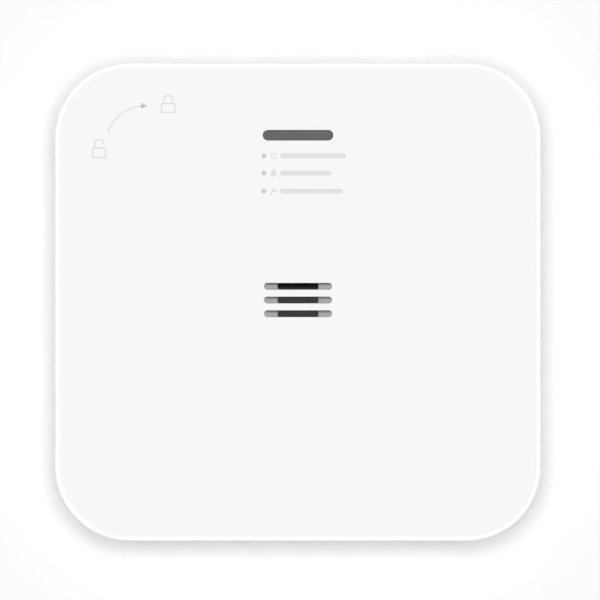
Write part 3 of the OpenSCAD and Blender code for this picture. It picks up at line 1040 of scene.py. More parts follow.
@dataclass
class FrontCover:
    """Front shell with its flat face, sounder grooves, light slot and button opening."""

    room: Span
    mesh_room: Span
    light_room: Span
    button_room: Span
    screws: Spot
    corner: float = 15.4
    edge: float = 1.2
    wall: float = 2.0
    soft: float = 0.15
    tongue_h: float = 1.6
    tongue_t: float = 1.0
    tongue_gap: float = 0.1
    shelf_h: float = 2.0
    groove: Spot = (14.0, 1.4)
    groove_depth: float = 0.8
    groove_soft: float = 0.12
    window: Spot = (8.4, 1.26)
    window_corner: float = 0.3
    window_soft: float = 0.04
    pitch: float = 2.82
    light_slot: Spot = (14.5, 2.15)
    slot_soft: float = 0.08
    button: Spot = (16.0, 6.0)
    button_soft: float = 0.25
    posts: Spot = (38.0, 24.0)
    post_back: float = 25.0
    boss_r: float = 3.8
    boss_hole: Spot = (1.4, 21.0)
    post_r: float = 2.6
    post_hole: Spot = (0.9, 28.9)
    peg_sink: float = 0.5

    def grooves(self, skin: Skin) -> tuple[list[Loop], list[Loop]]:
        """Sinks the three grooves and their windows.

        Args:
            skin: Surface to add to.

        Returns:
            The loops on the front face and those on the inner face.
        """
        front, inner = self.room.front, self.room.front - self.wall
        floor = front - self.groove_depth
        faces, backs = [], []
        for k in (-1, 0, 1):
            y = self.mesh_room.mid_y + k * self.pitch
            groove = bar_shape(*self.groove, 0.0, y)
            window = box_shape(*self.window, self.window_corner, 5, 0.0, y)
            top, bottom = skin.shaft(Facing.FRONT, groove, lip(self.groove_soft, front, -1) + [(0.0, floor)])
            rim, back = skin.shaft(Facing.FRONT, window, lip(self.window_soft, floor, -1, 2) + [(0.0, inner)])
            skin.fill([bottom, rim], Facing.FRONT)
            faces.append(top)
            backs.append(back)
        return faces, backs

    def pegs(self, skin: Skin) -> None:
        """Adds the screw bosses and the board posts behind the face."""
        root = self.room.front - self.wall + self.peg_sink
        parting = self.room.back + self.tongue_h
        kinds = (
            (self.screws, self.boss_r, parting, self.boss_hole),
            (self.posts, self.post_r, self.post_back, self.post_hole),
        )
        for place, radius, low, (hole_r, hole_end) in kinds:
            for cx, cy in mirrored(*place):
                rings = skin.lathe(
                    [(hole_r, hole_end), (hole_r, low), (radius, low), (radius, root)],
                    lambda u, v, z, cx=cx, cy=cy: (cx + u, cy + v, z), PEG_SIDES,
                )
                skin.fill([rings[0]], Facing.BACK)
                skin.fill([rings[-1]], Facing.FRONT)

    def build(self, finish: bpy.types.Material) -> bpy.types.Object:
        """Builds the shell.

        Args:
            finish: Its material.

        Returns:
            The piece.
        """
        skin = Skin()
        front, inner = self.room.front, self.room.front - self.wall
        parting = self.room.back + self.tongue_h
        shelf = parting + self.shelf_h
        tongue_out = self.wall + self.tongue_gap
        tongue_in = tongue_out + self.tongue_t
        inside = [
            (-self.wall, inner), (-self.wall, shelf), (-tongue_in, shelf), (-tongue_in, self.room.back),
            (-tongue_out, self.room.back), (-tongue_out, parting),
        ]
        steps = inside + outer_lip(self.soft, parting, 1) + outer_lip(self.edge, front, -1, 8)[::-1]
        outline = box_shape(self.room.width, self.room.height, self.corner)
        loops = [skin.loop(Facing.FRONT.place(outline(grow), z)) for grow, z in steps]
        outer_band, right = len(inside) + LIP_STEPS, SIDE_ORDER.index(Facing.RIGHT)
        skin.loft(loops, frozenset({(0, side_segment(right)), (outer_band, side_segment(right))}))

        outside_x = self.room.right
        door = skin.shaft(
            Facing.RIGHT, bar_shape(*self.button, self.button_room.mid_y, self.button_room.mid_z),
            lip(self.button_soft, outside_x, -1) + [(0.0, outside_x - self.wall)],
        )
        patch(skin, loops, outer_band, right, [door[0]], Facing.RIGHT)
        patch(skin, loops, 0, right, [door[1]], Facing.LEFT)

        slot = skin.shaft(
            Facing.FRONT, bar_shape(*self.light_slot, 0.0, self.light_room.mid_y),
            lip(self.slot_soft, front, -1) + [(0.0, inner)],
        )
        faces, backs = self.grooves(skin)
        skin.fill([loops[-1], slot[0], *faces], Facing.FRONT)
        skin.fill([loops[0], slot[1], *backs], Facing.BACK)
        self.pegs(skin)
        return skin.piece("front_cover_shell", Body.DETECTOR, "white_shell", [finish], ["front_cover"])


# ---------- rear housing ----------


@dataclass
class RearHousing:
    """Rear shell with the round bracket recess, its locking tabs, the battery bay and the gas vents."""

    cover_room: Span
    room: Span
    screws: Spot
    recess_r: float
    slots: Sequence[Spot]
    corner: float = 15.4
    edge: float = 0.8
    wall: float = 2.0
    parting: float = 14.0
    reveal: float = 0.4
    recess_z: float = 5.6
    recess_soft: float = 0.5
    bay: Spot = (57.5, 30.6)
    bay_mid_y: float = -15.59
    bay_ceiling: float = 21.3
    bay_wall: float = 1.6
    bay_corner: float = 0.6
    bay_soft: float = 0.3
    contact_slot: Spot = (0.69, 2.8)
    contact_corner: float = 0.1
    pillar_r: float = 4.5
    pillar_sides: int = 40
    bore_r: float = 1.6
    counterbore_r: float = 3.1
    chamfer: float = 0.3
    seat_z: float = 6.0
    vent: Spot = (1.6, 6.0)
    vent_corner: float = 0.35
    vent_soft: float = 0.2
    vent_z: float = 8.0
    vent_pitch: float = 3.6
    vent_count: int = 7
    tab_r: float = 37.5
    tab_z: Spot = (1.9, 3.4)
    tab_start: float = 7.5
    tab_span: float = 15.0
    tab_sink: float = 1.0
    tab_soft: float = 0.2

    def vents(self, skin: Skin, facing: Facing, surface: float) -> list[tuple[Loop, Loop]]:
        """Cuts the row of gas vents in one side.

        Args:
            skin: Surface to add to.
            facing: Which way the side looks.
            surface: Level of the side's surface.

        Returns:
            The outer and the inner loop of each vent.
        """
        inward = -math.copysign(1.0, surface)
        steps = lip(self.vent_soft, surface, inward) + [(0.0, surface + inward * self.wall)]
        places = [(k - (self.vent_count - 1) / 2) * self.vent_pitch for k in range(self.vent_count)]
        return [
            skin.shaft(facing, box_shape(*self.vent, self.vent_corner, 3, place, self.vent_z), steps)
            for place in places
        ]

    def pillar(self, skin: Skin, cx: float, cy: float) -> tuple[Loop, Loop]:
        """Adds a screw pillar with its bore and counterbore.

        Args:
            skin: Surface to add to.
            cx: Its place along x.
            cy: Its place along y.

        Returns:
            Its foot on the inner floor and the mouth of its counterbore.
        """
        back = self.room.back
        steps = [
            (self.pillar_r, back + self.wall), (self.pillar_r, self.parting), (self.bore_r, self.parting),
            (self.bore_r, self.seat_z), (self.counterbore_r, self.seat_z),
            (self.counterbore_r, back + self.chamfer), (self.counterbore_r + self.chamfer, back),
        ]
        rings = skin.lathe(steps, lambda u, v, z: (cx + u, cy + v, z), self.pillar_sides)
        return rings[0], rings[-1]

    def bay_box(self, skin: Skin) -> tuple[Loop, Loop]:
        """Adds the battery bay with its contact slots.

        Args:
            skin: Surface to add to.

        Returns:
            The bay's mouth in the recess floor and its foot on the drum.
        """
        drum_top, roof = self.recess_z + self.wall, self.room.front
        bay = box_shape(*self.bay, self.bay_corner, 3, 0.0, self.bay_mid_y)
        mouth, ceiling = skin.shaft(
            Facing.BACK, bay, lip(self.bay_soft, self.recess_z, 1) + [(0.0, self.bay_ceiling)]
        )
        foot, top = skin.shaft(Facing.FRONT, bay, [(self.bay_wall, drum_top), (self.bay_wall, roof)])
        slots = [
            skin.shaft(
                Facing.FRONT, box_shape(*self.contact_slot, self.contact_corner, 2, x, y),
                [(0.0, roof), (0.0, self.bay_ceiling)],
            )
            for x, y in self.slots
        ]
        skin.fill([top, *(slot[0] for slot in slots)], Facing.FRONT)
        skin.fill([ceiling, *(slot[1] for slot in slots)], Facing.BACK)
        return mouth, foot

    def tabs(self, skin: Skin) -> None:
        """Adds the four locking tabs."""
        for k in range(4):
            outline = ring_shape(
                self.tab_r, self.recess_r + self.tab_sink, self.tab_start + 90 * k, self.tab_span, 6
            )
            skin.block(outline, *self.tab_z, self.tab_soft)

    def build(self, finish: bpy.types.Material) -> bpy.types.Object:
        """Builds the shell.

        Args:
            finish: Its material.

        Returns:
            The piece.
        """
        skin = Skin()
        back, floor = self.room.back, self.room.back + self.wall
        drum_r, drum_top = self.recess_r + self.wall, self.recess_z + self.wall
        rear = outer_lip(self.edge, back, 1, 5)
        top = [
            (0.0, self.parting - self.reveal), (-self.reveal, self.parting - self.reveal),
            (-self.reveal, self.parting), (-self.wall, self.parting), (-self.wall, floor),
        ]
        steps = rear + top
        outline = box_shape(self.cover_room.width, self.cover_room.height, self.corner)
        loops = [skin.loop(Facing.FRONT.place(outline(grow), z)) for grow, z in steps]
        outer_band, inner_band = len(rear) - 1, len(steps) - 2
        gaps = {(band, side_segment(side)) for band in (outer_band, inner_band) for side in range(4)}
        skin.loft(loops, frozenset(gaps))
        half_w, half_h = self.cover_room.width / 2, self.cover_room.height / 2
        for side, surface in enumerate((half_h, -half_w, -half_h, half_w)):
            facing = SIDE_ORDER[side]
            vents = self.vents(skin, facing, surface)
            patch(skin, loops, outer_band, side, [vent[0] for vent in vents], facing)
            patch(skin, loops, inner_band, side, [vent[1] for vent in vents], OPPOSITE[facing])

        pillars = [self.pillar(skin, x, y) for x, y in mirrored(*self.screws)]
        rim, recess = skin.shaft(
            Facing.BACK, disc_shape(self.recess_r, RIM_SIDES),
            lip(self.recess_soft, back, 1, 4) + [(0.0, self.recess_z)],
        )
        mouth, foot = self.bay_box(skin)
        skin.fill([loops[0], rim, *(pillar[1] for pillar in pillars)], Facing.BACK)
        skin.fill([recess, mouth], Facing.BACK)
        base, lid = skin.shaft(Facing.FRONT, disc_shape(drum_r, DRUM_SIDES), [(0.0, floor), (0.0, drum_top)])
        skin.fill([loops[-1], base, *(pillar[0] for pillar in pillars)], Facing.FRONT)
        skin.fill([lid, foot], Facing.FRONT)
        self.tabs(skin)
        return skin.piece("rear_housing_shell", Body.DETECTOR, "white_shell", [finish], ["rear_housing"])


# ---------- wall bracket ----------


@dataclass
class WallBracket:
    """Round wall plate with hooks, stops, wall-screw slots and an up arrow."""

    room: Span
    plate_t: float = 1.6
    soft: float = 0.25
    slot: Spot = (9.0, 4.5)
    slot_at: float = 28.0
    window: Spot = (12.0, 20.5)
    window_span: float = 52.0
    core: Spot = (37.5, 39.8)
    rib: Spot = (9.6, 10.8)
    rib_h: float = 1.2
    tab_start: float = 7.5
    tab_span: float = 15.0
    root_sink: float = 0.5
    hook: Spot = (35.0, 36.8)
    hook_under: float = 3.7
    hook_chamfer: float = 0.25
    hook_lap: float = 0.85
    hook_margin: float = 0.5
    stop_gap: float = 0.15
    stop_span: float = 2.0
    stop_inset: float = 0.3
    stop_soft: float = 0.15
    arrow: Sequence[Spot] = (
        (0.0, 5.5), (-3.6, 1.2), (-1.3, 1.2), (-1.3, -5.0), (1.3, -5.0), (1.3, 1.2), (3.6, 1.2),
    )
    arrow_y: float = 16.0
    arrow_depth: float = 0.4

    def holes(self) -> list[Shape]:
        """Outlines of everything cut through the plate."""
        made: list[Shape] = []
        slot = bar_shape(*self.slot, self.slot_at)
        for turn in (0.0, 90.0, 180.0, 270.0):
            made += [
                lambda grow, turn=turn: turned(slot(grow), turn),
                ring_shape(*self.window, turn + 45 - self.window_span / 2, self.window_span, 14),
                ring_shape(*self.core, turn + self.tab_start, self.tab_span, 6),
            ]
        return made

    def hooks(self, skin: Skin) -> None:
        """Adds the four hooks and the stop beside each."""
        root, top, chamfer = self.plate_t - self.root_sink, self.room.front, self.hook_chamfer
        near, leg = self.hook
        tip, inset = self.core[1], self.stop_inset
        profile = [
            (near, root), (leg, root), (leg, self.hook_under), (tip, self.hook_under), (tip, top - chamfer),
            (tip - chamfer, top), (near + chamfer, top), (near, top - chamfer),
        ]
        before = self.stop_gap + self.hook_lap
        for turn in (0.0, 90.0, 180.0, 270.0):
            start = self.tab_start + turn
            skin.sweep(profile, start - before, before + self.tab_span + self.hook_margin, 10)
            stop = ring_shape(
                near + inset, tip - inset, start - self.stop_gap - self.stop_span, self.stop_span, 3
            )
            skin.block(stop, root, top - inset, self.stop_soft)

    def build(self, finish: bpy.types.Material) -> bpy.types.Object:
        """Builds the bracket.

        Args:
            finish: Its material.

        Returns:
            The piece.
        """
        skin = Skin()
        radius = self.room.width / 2
        wall_side, front_side = skin.shaft(
            Facing.FRONT, disc_shape(radius, RIM_SIDES),
            block_steps(0.0, self.plate_t, self.soft),
        )
        tubes = [
            skin.shaft(Facing.FRONT, hole, hole_steps(0.0, self.plate_t, self.soft))
            for hole in self.holes()
        ]
        mark, sunk = skin.shaft(
            Facing.BACK, lambda grow: shifted(self.arrow, 0.0, self.arrow_y),
            [(0.0, 0.0), (0.0, self.arrow_depth)],
        )
        skin.fill([front_side, *(tube[0] for tube in tubes)], Facing.FRONT)
        skin.fill([wall_side, mark, *(tube[1] for tube in tubes)], Facing.BACK)
        skin.fill([sunk], Facing.BACK)
        inner, outer = self.rib
        skin.block(
            disc_shape(outer, CORE_SIDES), self.plate_t - self.root_sink, self.plate_t + self.rib_h,
            self.soft, [lambda grow: circle(inner - grow, CORE_SIDES)],
        )
        self.hooks(skin)
        return skin.piece(
            "wall_bracket_plate", Body.BRACKET, "bracket_plastic", [finish], ["mounting_bracket"]
        )


# ---------- small parts on the shells ----------


@dataclass
class LightBar:
    """Smoked lens bar with its hidden flange."""

    room: Span
    slot: Spot = (14.5, 2.15)
    gap: float = 0.05
    flange_t: float = 0.8
    soft: float = 0.18

    def build(self, finish: bpy.types.Material) -> bpy.types.Object:
        """Builds the lens.

        Args:
            finish: Its material.

        Returns:
            The piece.
        """
        skin = Skin()
        length, width = self.slot[0] - 2 * self.gap, self.slot[1] - 2 * self.gap
        flange = (self.room.width - length) / 2
        ledge = self.room.back + self.flange_t
        steps = [(flange, self.room.back), (flange, ledge), (0.0, ledge)]
        steps += outer_lip(self.soft, self.room.front, -1, 4)[::-1]
        back, face = skin.shaft(
            Facing.FRONT, bar_shape(length, width, self.room.mid_x, self.room.mid_y), steps
        )
        skin.fill([back], Facing.BACK)
        skin.fill([face], Facing.FRONT)
        return skin.piece("light_bar_lens", Body.DETECTOR, "smoked_lens", [finish], ["light_bar"])


@dataclass
class TestButton:
    """Side button with a dished face, an inner flange and the stem that meets the switch."""

    room: Span
    wall_x: float
    opening: Spot = (16.0, 6.0)
    gap: float = 0.2
    flange: float = 1.2
    flange_t: float = 1.0
    stem_r: float = 1.4
    stem_soft: float = 0.2
    soft: float = 0.3
    dish: float = 0.25
    dish_in: float = 0.9
    dish_w: float = 1.5
    dish_steps: int = 4
    play: float = 0.02

    def build(self, finish: bpy.types.Material) -> bpy.types.Object:
        """Builds the button.

        Args:
            finish: Its material.

        Returns:
            The piece.
        """
        skin = Skin()
        length, width = self.opening[0] - 2 * self.gap, self.opening[1] - 2 * self.gap
        grow_flange = self.flange + self.gap
        face, back, stop = self.room.right, self.wall_x - self.flange_t, self.wall_x - self.play
        tip = self.room.left + self.play
        shares = [k / self.dish_steps for k in range(self.dish_steps + 1)]
        bowl = [
            (-self.dish_in - self.dish_w * share, face - self.dish * math.sin(math.pi / 2 * share))
            for share in shares
        ]
        steps = [(grow_flange, back), (grow_flange, stop), (0.0, stop)]
        steps += outer_lip(self.soft, face, -1, 4)[::-1] + bowl
        bar = bar_shape(length, width, self.room.mid_y, self.room.mid_z)
        foot, floor = skin.shaft(Facing.RIGHT, bar, steps)
        stem = skin.shaft(
            Facing.RIGHT, disc_shape(self.stem_r, PEG_SIDES, self.room.mid_y, self.room.mid_z),
            [(-self.stem_soft, tip), (0.0, tip + self.stem_soft), (0.0, back)],
        )
        skin.fill([floor], Facing.RIGHT)
        skin.fill([stem[0]], Facing.LEFT)
        skin.fill([foot, stem[1]], Facing.LEFT)
        return skin.piece("test_button_cap", Body.BUTTON, "button_plastic", [finish], ["test_button"])


@dataclass
class DustMesh:
    """Woven dust mesh in a thin film frame behind the grooves."""

    room: Span
    opening: Spot = (10.6, 8.4)
    pitch: float = 0.2
    thread_r: float = 0.07
    sides: int = 4
    corner: float = 0.6
    soft: float = 0.05

    def thread(self, skin: Skin, start: Spot, end: Spot, first_up: bool, crossings: int) -> None:
        """Adds one thread that goes over and under those it crosses.

        Args:
            skin: Surface to add to.
            start: One end.
            end: Other end.
            first_up: Whether it goes over the first thread that it crosses.
            crossings: Number of threads that it crosses.
        """
        along = Vector((end[0] - start[0], end[1] - start[1]))
        way = along.normalized()
        across = Vector((-way.y, way.x))
        rings = []
        for k in range(-1, crossings + 1):
            spot = Vector(start) + along * ((k + 0.5) / crossings)
            lift = self.thread_r * (1 if (k % 2 == 0) == first_up else -1)
            ring = []
            for x, y in circle(self.thread_r, self.sides):
                point = spot + across * x
                ring.append((point.x, point.y, self.room.mid_z + lift + y))
            rings.append(skin.loop(ring))
        skin.loft(rings)
        skin.face(rings[0][::-1])
        skin.face(rings[-1])

    def build(self, thread: bpy.types.Material, film: bpy.types.Material) -> bpy.types.Object:
        """Builds the mesh and its frame.

        Args:
            thread: Material of the threads.
            film: Material of the frame.

        Returns:
            The piece.
        """
        skin = Skin()
        wide, tall = self.opening
        cx, cy = self.room.mid_x, self.room.mid_y
        columns, rows = round(wide / self.pitch), round(tall / self.pitch)
        for k in range(rows):
            y = cy - tall / 2 + (k + 0.5) * self.pitch
            self.thread(skin, (cx - wide / 2, y), (cx + wide / 2, y), k % 2 == 0, columns)
        for k in range(columns):
            x = cx - wide / 2 + (k + 0.5) * self.pitch
            self.thread(skin, (x, cy - tall / 2), (x, cy + tall / 2), k % 2 == 1, rows)
        skin.paint = 1
        skin.block(
            disc_shape(self.room.width / 2, CORE_SIDES, cx, cy), self.room.back, self.room.front, self.soft,
            [box_shape(wide, tall, self.corner, 4, cx, cy)],
        )
        return skin.piece("dust_mesh_weave", Body.DETECTOR, "dark_mesh", [thread, film], ["dust_mesh"])


@dataclass
class CoverScrews:
    """Four pan-head screws with a cross recess and a thread."""

    room: Span
    head_r: float = 2.8
    head_t: float = 2.0
    dome: Sequence[Spot] = ((0.78, 0.0), (0.9, 0.22), (1.0, 0.75))
    shank_r: float = 1.4
    thread_depth: float = 0.3
    thread_pitch: float = 0.9
    thread_start: float = 0.6
    plain_end: float = 2.0
    tip: Spot = (0.35, 0.9)
    recess: Spot = (3.2, 0.8)
    recess_depth: float = 1.1
    recess_taper: float = 0.35
    sides: int = 36

    def places(self) -> Spot:
        """Distance of the screws from the middle along x and y."""
        return self.room.right - self.head_r, self.room.high - self.head_r

    def screw(self, skin: Skin, cx: float, cy: float) -> None:
        """Adds one screw.

        Args:
            skin: Surface to add to.
            cx: Its place along x.
            cy: Its place along y.
        """
        low, high = self.room.back, self.room.front
        seat, root_r = low + self.head_t, self.shank_r - self.thread_depth
        steps = [(self.head_r * share, low + rise) for share, rise in self.dome]
        steps += [(self.head_r, seat), (self.shank_r, seat)]
        for k in range(int((high - seat - self.plain_end) / self.thread_pitch)):
            z = seat + self.thread_start + k * self.thread_pitch
            steps += [
                (root_r, z), (root_r, z + self.thread_pitch * 0.4),
                (self.shank_r, z + self.thread_pitch * 0.7),
            ]
        tip_r, tip_l = self.tip
        steps += [(root_r, high - tip_l), (tip_r, high)]
        rings = skin.lathe(steps, lambda u, v, z: (cx + u, cy + v, z), self.sides)
        a, b = self.recess[0] / 2, self.recess[1] / 2
        cross = [
            (a, b), (b, b), (b, a), (-b, a), (-b, b), (-a, b),
            (-a, -b), (-b, -b), (-b, -a), (b, -a), (b, -b), (a, -b),
        ]
        mouth, bottom = skin.shaft(
            Facing.BACK,
            lambda grow: [(cx + x * (1 + grow), cy + y * (1 + grow)) for x, y in cross],
            [(0.0, low), (-self.recess_taper, low + self.recess_depth)],
        )
        skin.fill([rings[0], mouth], Facing.BACK)
        skin.fill([bottom], Facing.BACK)
        skin.fill([rings[-1]], Facing.FRONT)

    def build(self, finish: bpy.types.Material) -> bpy.types.Object:
        """Builds the screws.

        Args:
            finish: Their material.

        Returns:
            The piece.
        """
        skin = Skin()
        for place in mirrored(*self.places()):
            self.screw(skin, *place)
        return skin.piece("cover_screws_set", Body.DETECTOR, "screw_steel", [finish], ["cover_screws"])


@dataclass
class RatingLabel:
    """Film label with round corners in the bracket recess."""

    room: Span
    corner: float = 1.5
    soft: float = 0.03

    def build(self, finish: bpy.types.Material) -> bpy.types.Object:
        """Builds the label.

        Args:
            finish: Its material.

        Returns:
            The piece.
        """
        skin = Skin()
        room = self.room
        outline = box_shape(room.width, room.height, self.corner, 6, room.mid_x, room.mid_y)
        skin.block(outline, room.back, room.front, self.soft)
        return skin.piece("rating_label_film", Body.DETECTOR, "label_paper", [finish], ["rating_label"])


@dataclass
class BatteryCell:
    """AA cell with a rolled sleeve end, a crimped base and a stepped terminal."""

    node: str
    room: Span
    way: float
    terminal_r: float = 2.6
    terminal_l: float = 1.5
    sides: int = 64
    base: Sequence[Spot] = ((0.45, 0.0), (0.5, 0.15), (0.72, 0.15), (0.76, 0.05))
    foot: Sequence[Spot] = ((0.76, 0.05), (0.9, 0.12), (0.985, 0.5), (1.0, 1.0))
    neck: Sequence[Spot] = ((1.0, -1.1), (0.985, -0.45), (0.93, -0.06), (0.84, 0.0))
    crimp: Sequence[Spot] = ((0.84, 0.0), (0.8, -0.2))

    def build(self, sleeve: bpy.types.Material, steel: bpy.types.Material) -> bpy.types.Object:
        """Builds the cell.

        Args:
            sleeve: Material of its sleeve.
            steel: Material of its ends.

        Returns:
            The piece.
        """
        skin = Skin()
        radius, half = self.room.height / 2, self.room.width / 2
        shoulder = half - self.terminal_l

        def place(u: float, v: float, level: float) -> Point:
            """Puts a point of the profile beside the cell's axis."""
            return (self.room.mid_x + self.way * level, self.room.mid_y + self.way * u, self.room.mid_z + v)

        def stretch(shares: Sequence[Spot], level: float) -> list[Step]:
            """Turns shares of the radius and heights over a level into a profile."""
            return [(radius * share, level + rise) for share, rise in shares]

        def turn(profile: Sequence[Step], paint: int) -> list[Loop]:
            """Adds a stretch of the profile in one paint."""
            skin.paint = paint
            return skin.lathe(profile, place, self.sides)

        tip = self.terminal_r
        crown = [
            (tip + 0.25, shoulder - 0.2), (tip, shoulder + 0.1), (tip, half - 0.3), (tip - 0.35, half),
        ]
        bottom = turn(stretch(self.base, -half), 1)
        turn(stretch(self.foot, -half) + stretch(self.neck, shoulder), 0)
        top = turn(stretch(self.crimp, shoulder) + crown, 1)
        skin.face(bottom[0][::-1])
        skin.face(top[-1])
        return skin.piece(f"{self.node}_cell", Body.DETECTOR, "cell_sleeve", [sleeve, steel], [self.node])


# ---------- printed marks ----------


@dataclass
class FrontPrint:
    """Dots, signs and bars printed on the front face."""

    face: float
    film: float = 0.012
    dot_x: float = -7.0
    dot_r: float = 0.51
    dot_sides: int = 28
    rows: Sequence[float] = (30.1, 26.5, 22.8)
    row_ends: Sequence[float] = (9.9, 6.9, 9.2)
    sign_x: float = -5.0
    word_x: float = -3.7
    word_h: float = 1.0
    closed_lock: Spot = (-26.7, 39.9)
    open_lock: Spot = (-40.9, 30.7)
    arrow_centre: Spot = (-31.71, 32.56)
    arrow_r: float = 7.72
    arrow_turn: Spot = (92.0, 162.0)
    arrow_head: Sequence[Spot] = ((-32.2, 41.0), (-32.2, 39.75), (-30.9, 40.35))
    lock_w: float = 3.0
    closed_h: float = 2.1
    open_h: float = 2.3
    lock_corner: float = 0.3
    hollow_corner: float = 0.12
    shackle_r: float = 0.92
    line_w: float = 0.3

    def add(self, skin: Skin, outline: Outline, holes: Sequence[Outline] = ()) -> None:
        """Prints one flat mark.

        Args:
            skin: Surface to add to.
            outline: Its outline.
            holes: Outlines left blank in it.
        """
        low, high = self.face - self.film, self.face + self.film
        far, near = skin.shaft(Facing.FRONT, lambda grow: outline, [(0.0, low), (0.0, high)])
        tubes = [
            skin.shaft(Facing.FRONT, lambda grow, hole=hole: hole, [(0.0, high), (0.0, low)])
            for hole in holes
        ]
        skin.fill([near, *(tube[0] for tube in tubes)], Facing.FRONT)
        skin.fill([far, *(tube[1] for tube in tubes)], Facing.BACK)

    def power_sign(self, skin: Skin, y: float) -> None:
        """Prints the sign of the power lamp: an open ring with a stroke in its gap."""
        x, ring_r, line = self.sign_x, 0.6, 0.2
        self.add(skin, stroke(arc(x, y, ring_r, 125, 415, 24), line))
        self.add(skin, stroke([(x, y + 0.05), (x, y + 0.8)], line))

    def bell_sign(self, skin: Skin, y: float) -> None:
        """Prints the sign of the alarm lamp: a bell over its clapper."""
        x, dome_r, clapper_r = self.sign_x, 0.5, 0.22
        skirt = [(x - 0.75, y - 0.55), (x + 0.75, y - 0.55), (x + 0.55, y - 0.3)]
        dome = arc(x, y + 0.2, dome_r, 0, 180, 12)
        self.add(skin, [*skirt, *dome, (x - 0.55, y - 0.3)])
        self.add(skin, arc(x, y - 0.62, clapper_r, 180, 360, 8))

    def spanner_sign(self, skin: Skin, y: float) -> None:
        """Prints the sign of the fault lamp: a spanner's open jaw and its handle."""
        x, jaw_r, jaw_w, handle_w = self.sign_x, 0.36, 0.24, 0.3
        self.add(skin, stroke(arc(x + 0.32, y + 0.32, jaw_r, -10, -260, 16), jaw_w))
        self.add(skin, stroke([(x + 0.1, y + 0.1), (x - 0.65, y - 0.65)], handle_w))

    def words(self, skin: Skin, y: float, end: float) -> None:
        """Prints the bar that stands for the words of one row."""
        middle, length = (self.word_x + end) / 2, end - self.word_x
        self.add(skin, stadium(length, self.word_h, middle, y))

    def lock(self, skin: Skin, place: Spot, height: float, opened: bool) -> None:
        """Prints a padlock.

        Args:
            skin: Surface to add to.
            place: Middle of its body.
            height: Height of its body.
            opened: Whether its shackle stands clear of the body on the right.
        """
        x, y = place
        top, wide, line = y + height / 2, self.lock_w, 2 * self.line_w
        hollow = rounded(wide - line, height - line, self.hollow_corner, 4, x, y)
        self.add(skin, rounded(wide, height, self.lock_corner, 4, x, y), [hollow])
        lift, free = (0.72, 0.52) if opened else (0.62, 0.0)
        arch = arc(x, top + lift, self.shackle_r, 180, 0, 16)
        start, end = [(x - self.shackle_r, top)], [(x + self.shackle_r, top + free)]
        self.add(skin, stroke((start + arch + end)[::-1], self.line_w))

    def arrow(self, line: Skin, head: Skin) -> None:
        """Prints the curved arrow from the open lock to the closed one."""
        self.add(line, stroke(arc(*self.arrow_centre, self.arrow_r, *self.arrow_turn, 20), self.line_w))
        self.add(head, list(self.arrow_head))

    def build(self, pale: bpy.types.Material, dark: bpy.types.Material) -> None:
        """Builds every mark.

        Args:
            pale: Ink of the bars and lines.
            dark: Ink of the dots and the arrow head.
        """
        dots, signs, locks, head = Skin(), Skin(), Skin(), Skin()
        draw = (self.power_sign, self.bell_sign, self.spanner_sign)
        for y, end, sign in zip(self.rows, self.row_ends, draw):
            self.add(dots, circle(self.dot_r, self.dot_sides, self.dot_x, y))
            sign(signs, y)
            self.words(signs, y, end)
        self.lock(locks, self.closed_lock, self.closed_h, False)
        self.lock(locks, self.open_lock, self.open_h, True)
        self.arrow(locks, head)
        dots.piece("print_dots", Body.DETECTOR, "grey_plastic", [dark])
        signs.piece("print_rows", Body.DETECTOR, "grey_plastic", [pale])
        locks.piece("print_locks", Body.DETECTOR, "grey_plastic", [pale])
        head.piece("print_arrow_head", Body.DETECTOR, "grey_plastic", [dark])


# ---------- CAD nodes that stay ----------


@dataclass
class InnerParts:
    """CAD nodes that keep their shape and get a finish."""

    finishes: dict[str, tuple[str, ...]] = field(default_factory=lambda: {
        "clear_guide": ("light_guide",),
        "board_green": ("circuit_board",),
        "screw_steel": ("board_screws",),
        "sensor_steel": ("co_sensor_can",),
        "black_foam": ("co_sensor_filter", "co_sensor_gasket", "sounder_foam_ring"),
        "grey_plastic": ("co_sensor_base", "switch_body"),
        "gold_pins": ("co_sensor_pins",),
        "black_plastic": (
            "sounder_housing", "sounder_lid", "switch_plunger", "microcontroller", "amplifier_chip",
            "chip_resistors",
        ),
        "sounder_brass": ("sounder_disc",),
        "white_ceramic": ("sounder_ceramic",),
        "red_wire": ("sounder_wire_red",),
        "black_wire": ("sounder_wire_black",),
        "green_lamp": ("lamp_green",),
        "red_lamp": ("lamp_red",),
        "yellow_lamp": ("lamp_yellow",),
        "contact_nickel": (
            "positive_contact", "negative_contact", "negative_spring", "bridge_contact", "bridge_spring",
        ),
        "capacitor_aluminium": ("storage_capacitor",),
        "ferrite": ("boost_coil",),
        "chip_tan": ("chip_capacitors",),
    })

    def dress(self, materials: dict[str, bpy.types.Material]) -> None:
        """Gives each CAD node its finish.

        Args:
            materials: The finishes by their slot in the record.
        """
        for slot, nodes in self.finishes.items():
            for node in nodes:
                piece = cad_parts[node]
                for holder in piece.material_slots:
                    holder.material = materials[slot]
                log.info("%s: %s", node, slot)


# ---------- stage ----------


@dataclass
class Lamp:
    """Distant soft light."""

    name: str
    share: float
    towards: Point
    softness: float
    glossy: bool = True

    def build(self) -> None:
        """Adds the light; share is what it adds to a white surface that faces it."""
        data = bpy.data.lights.new(self.name, "SUN")
        data.energy = math.pi * self.share
        data.angle = math.radians(self.softness)
        lamp = bpy.data.objects.new(self.name, data)
        lamp.visible_glossy = self.glossy
        lamp.rotation_mode = "QUATERNION"
        lamp.rotation_quaternion = Vector(self.towards).to_track_quat("-Z", "Y")
        bpy.context.scene.collection.objects.link(lamp)


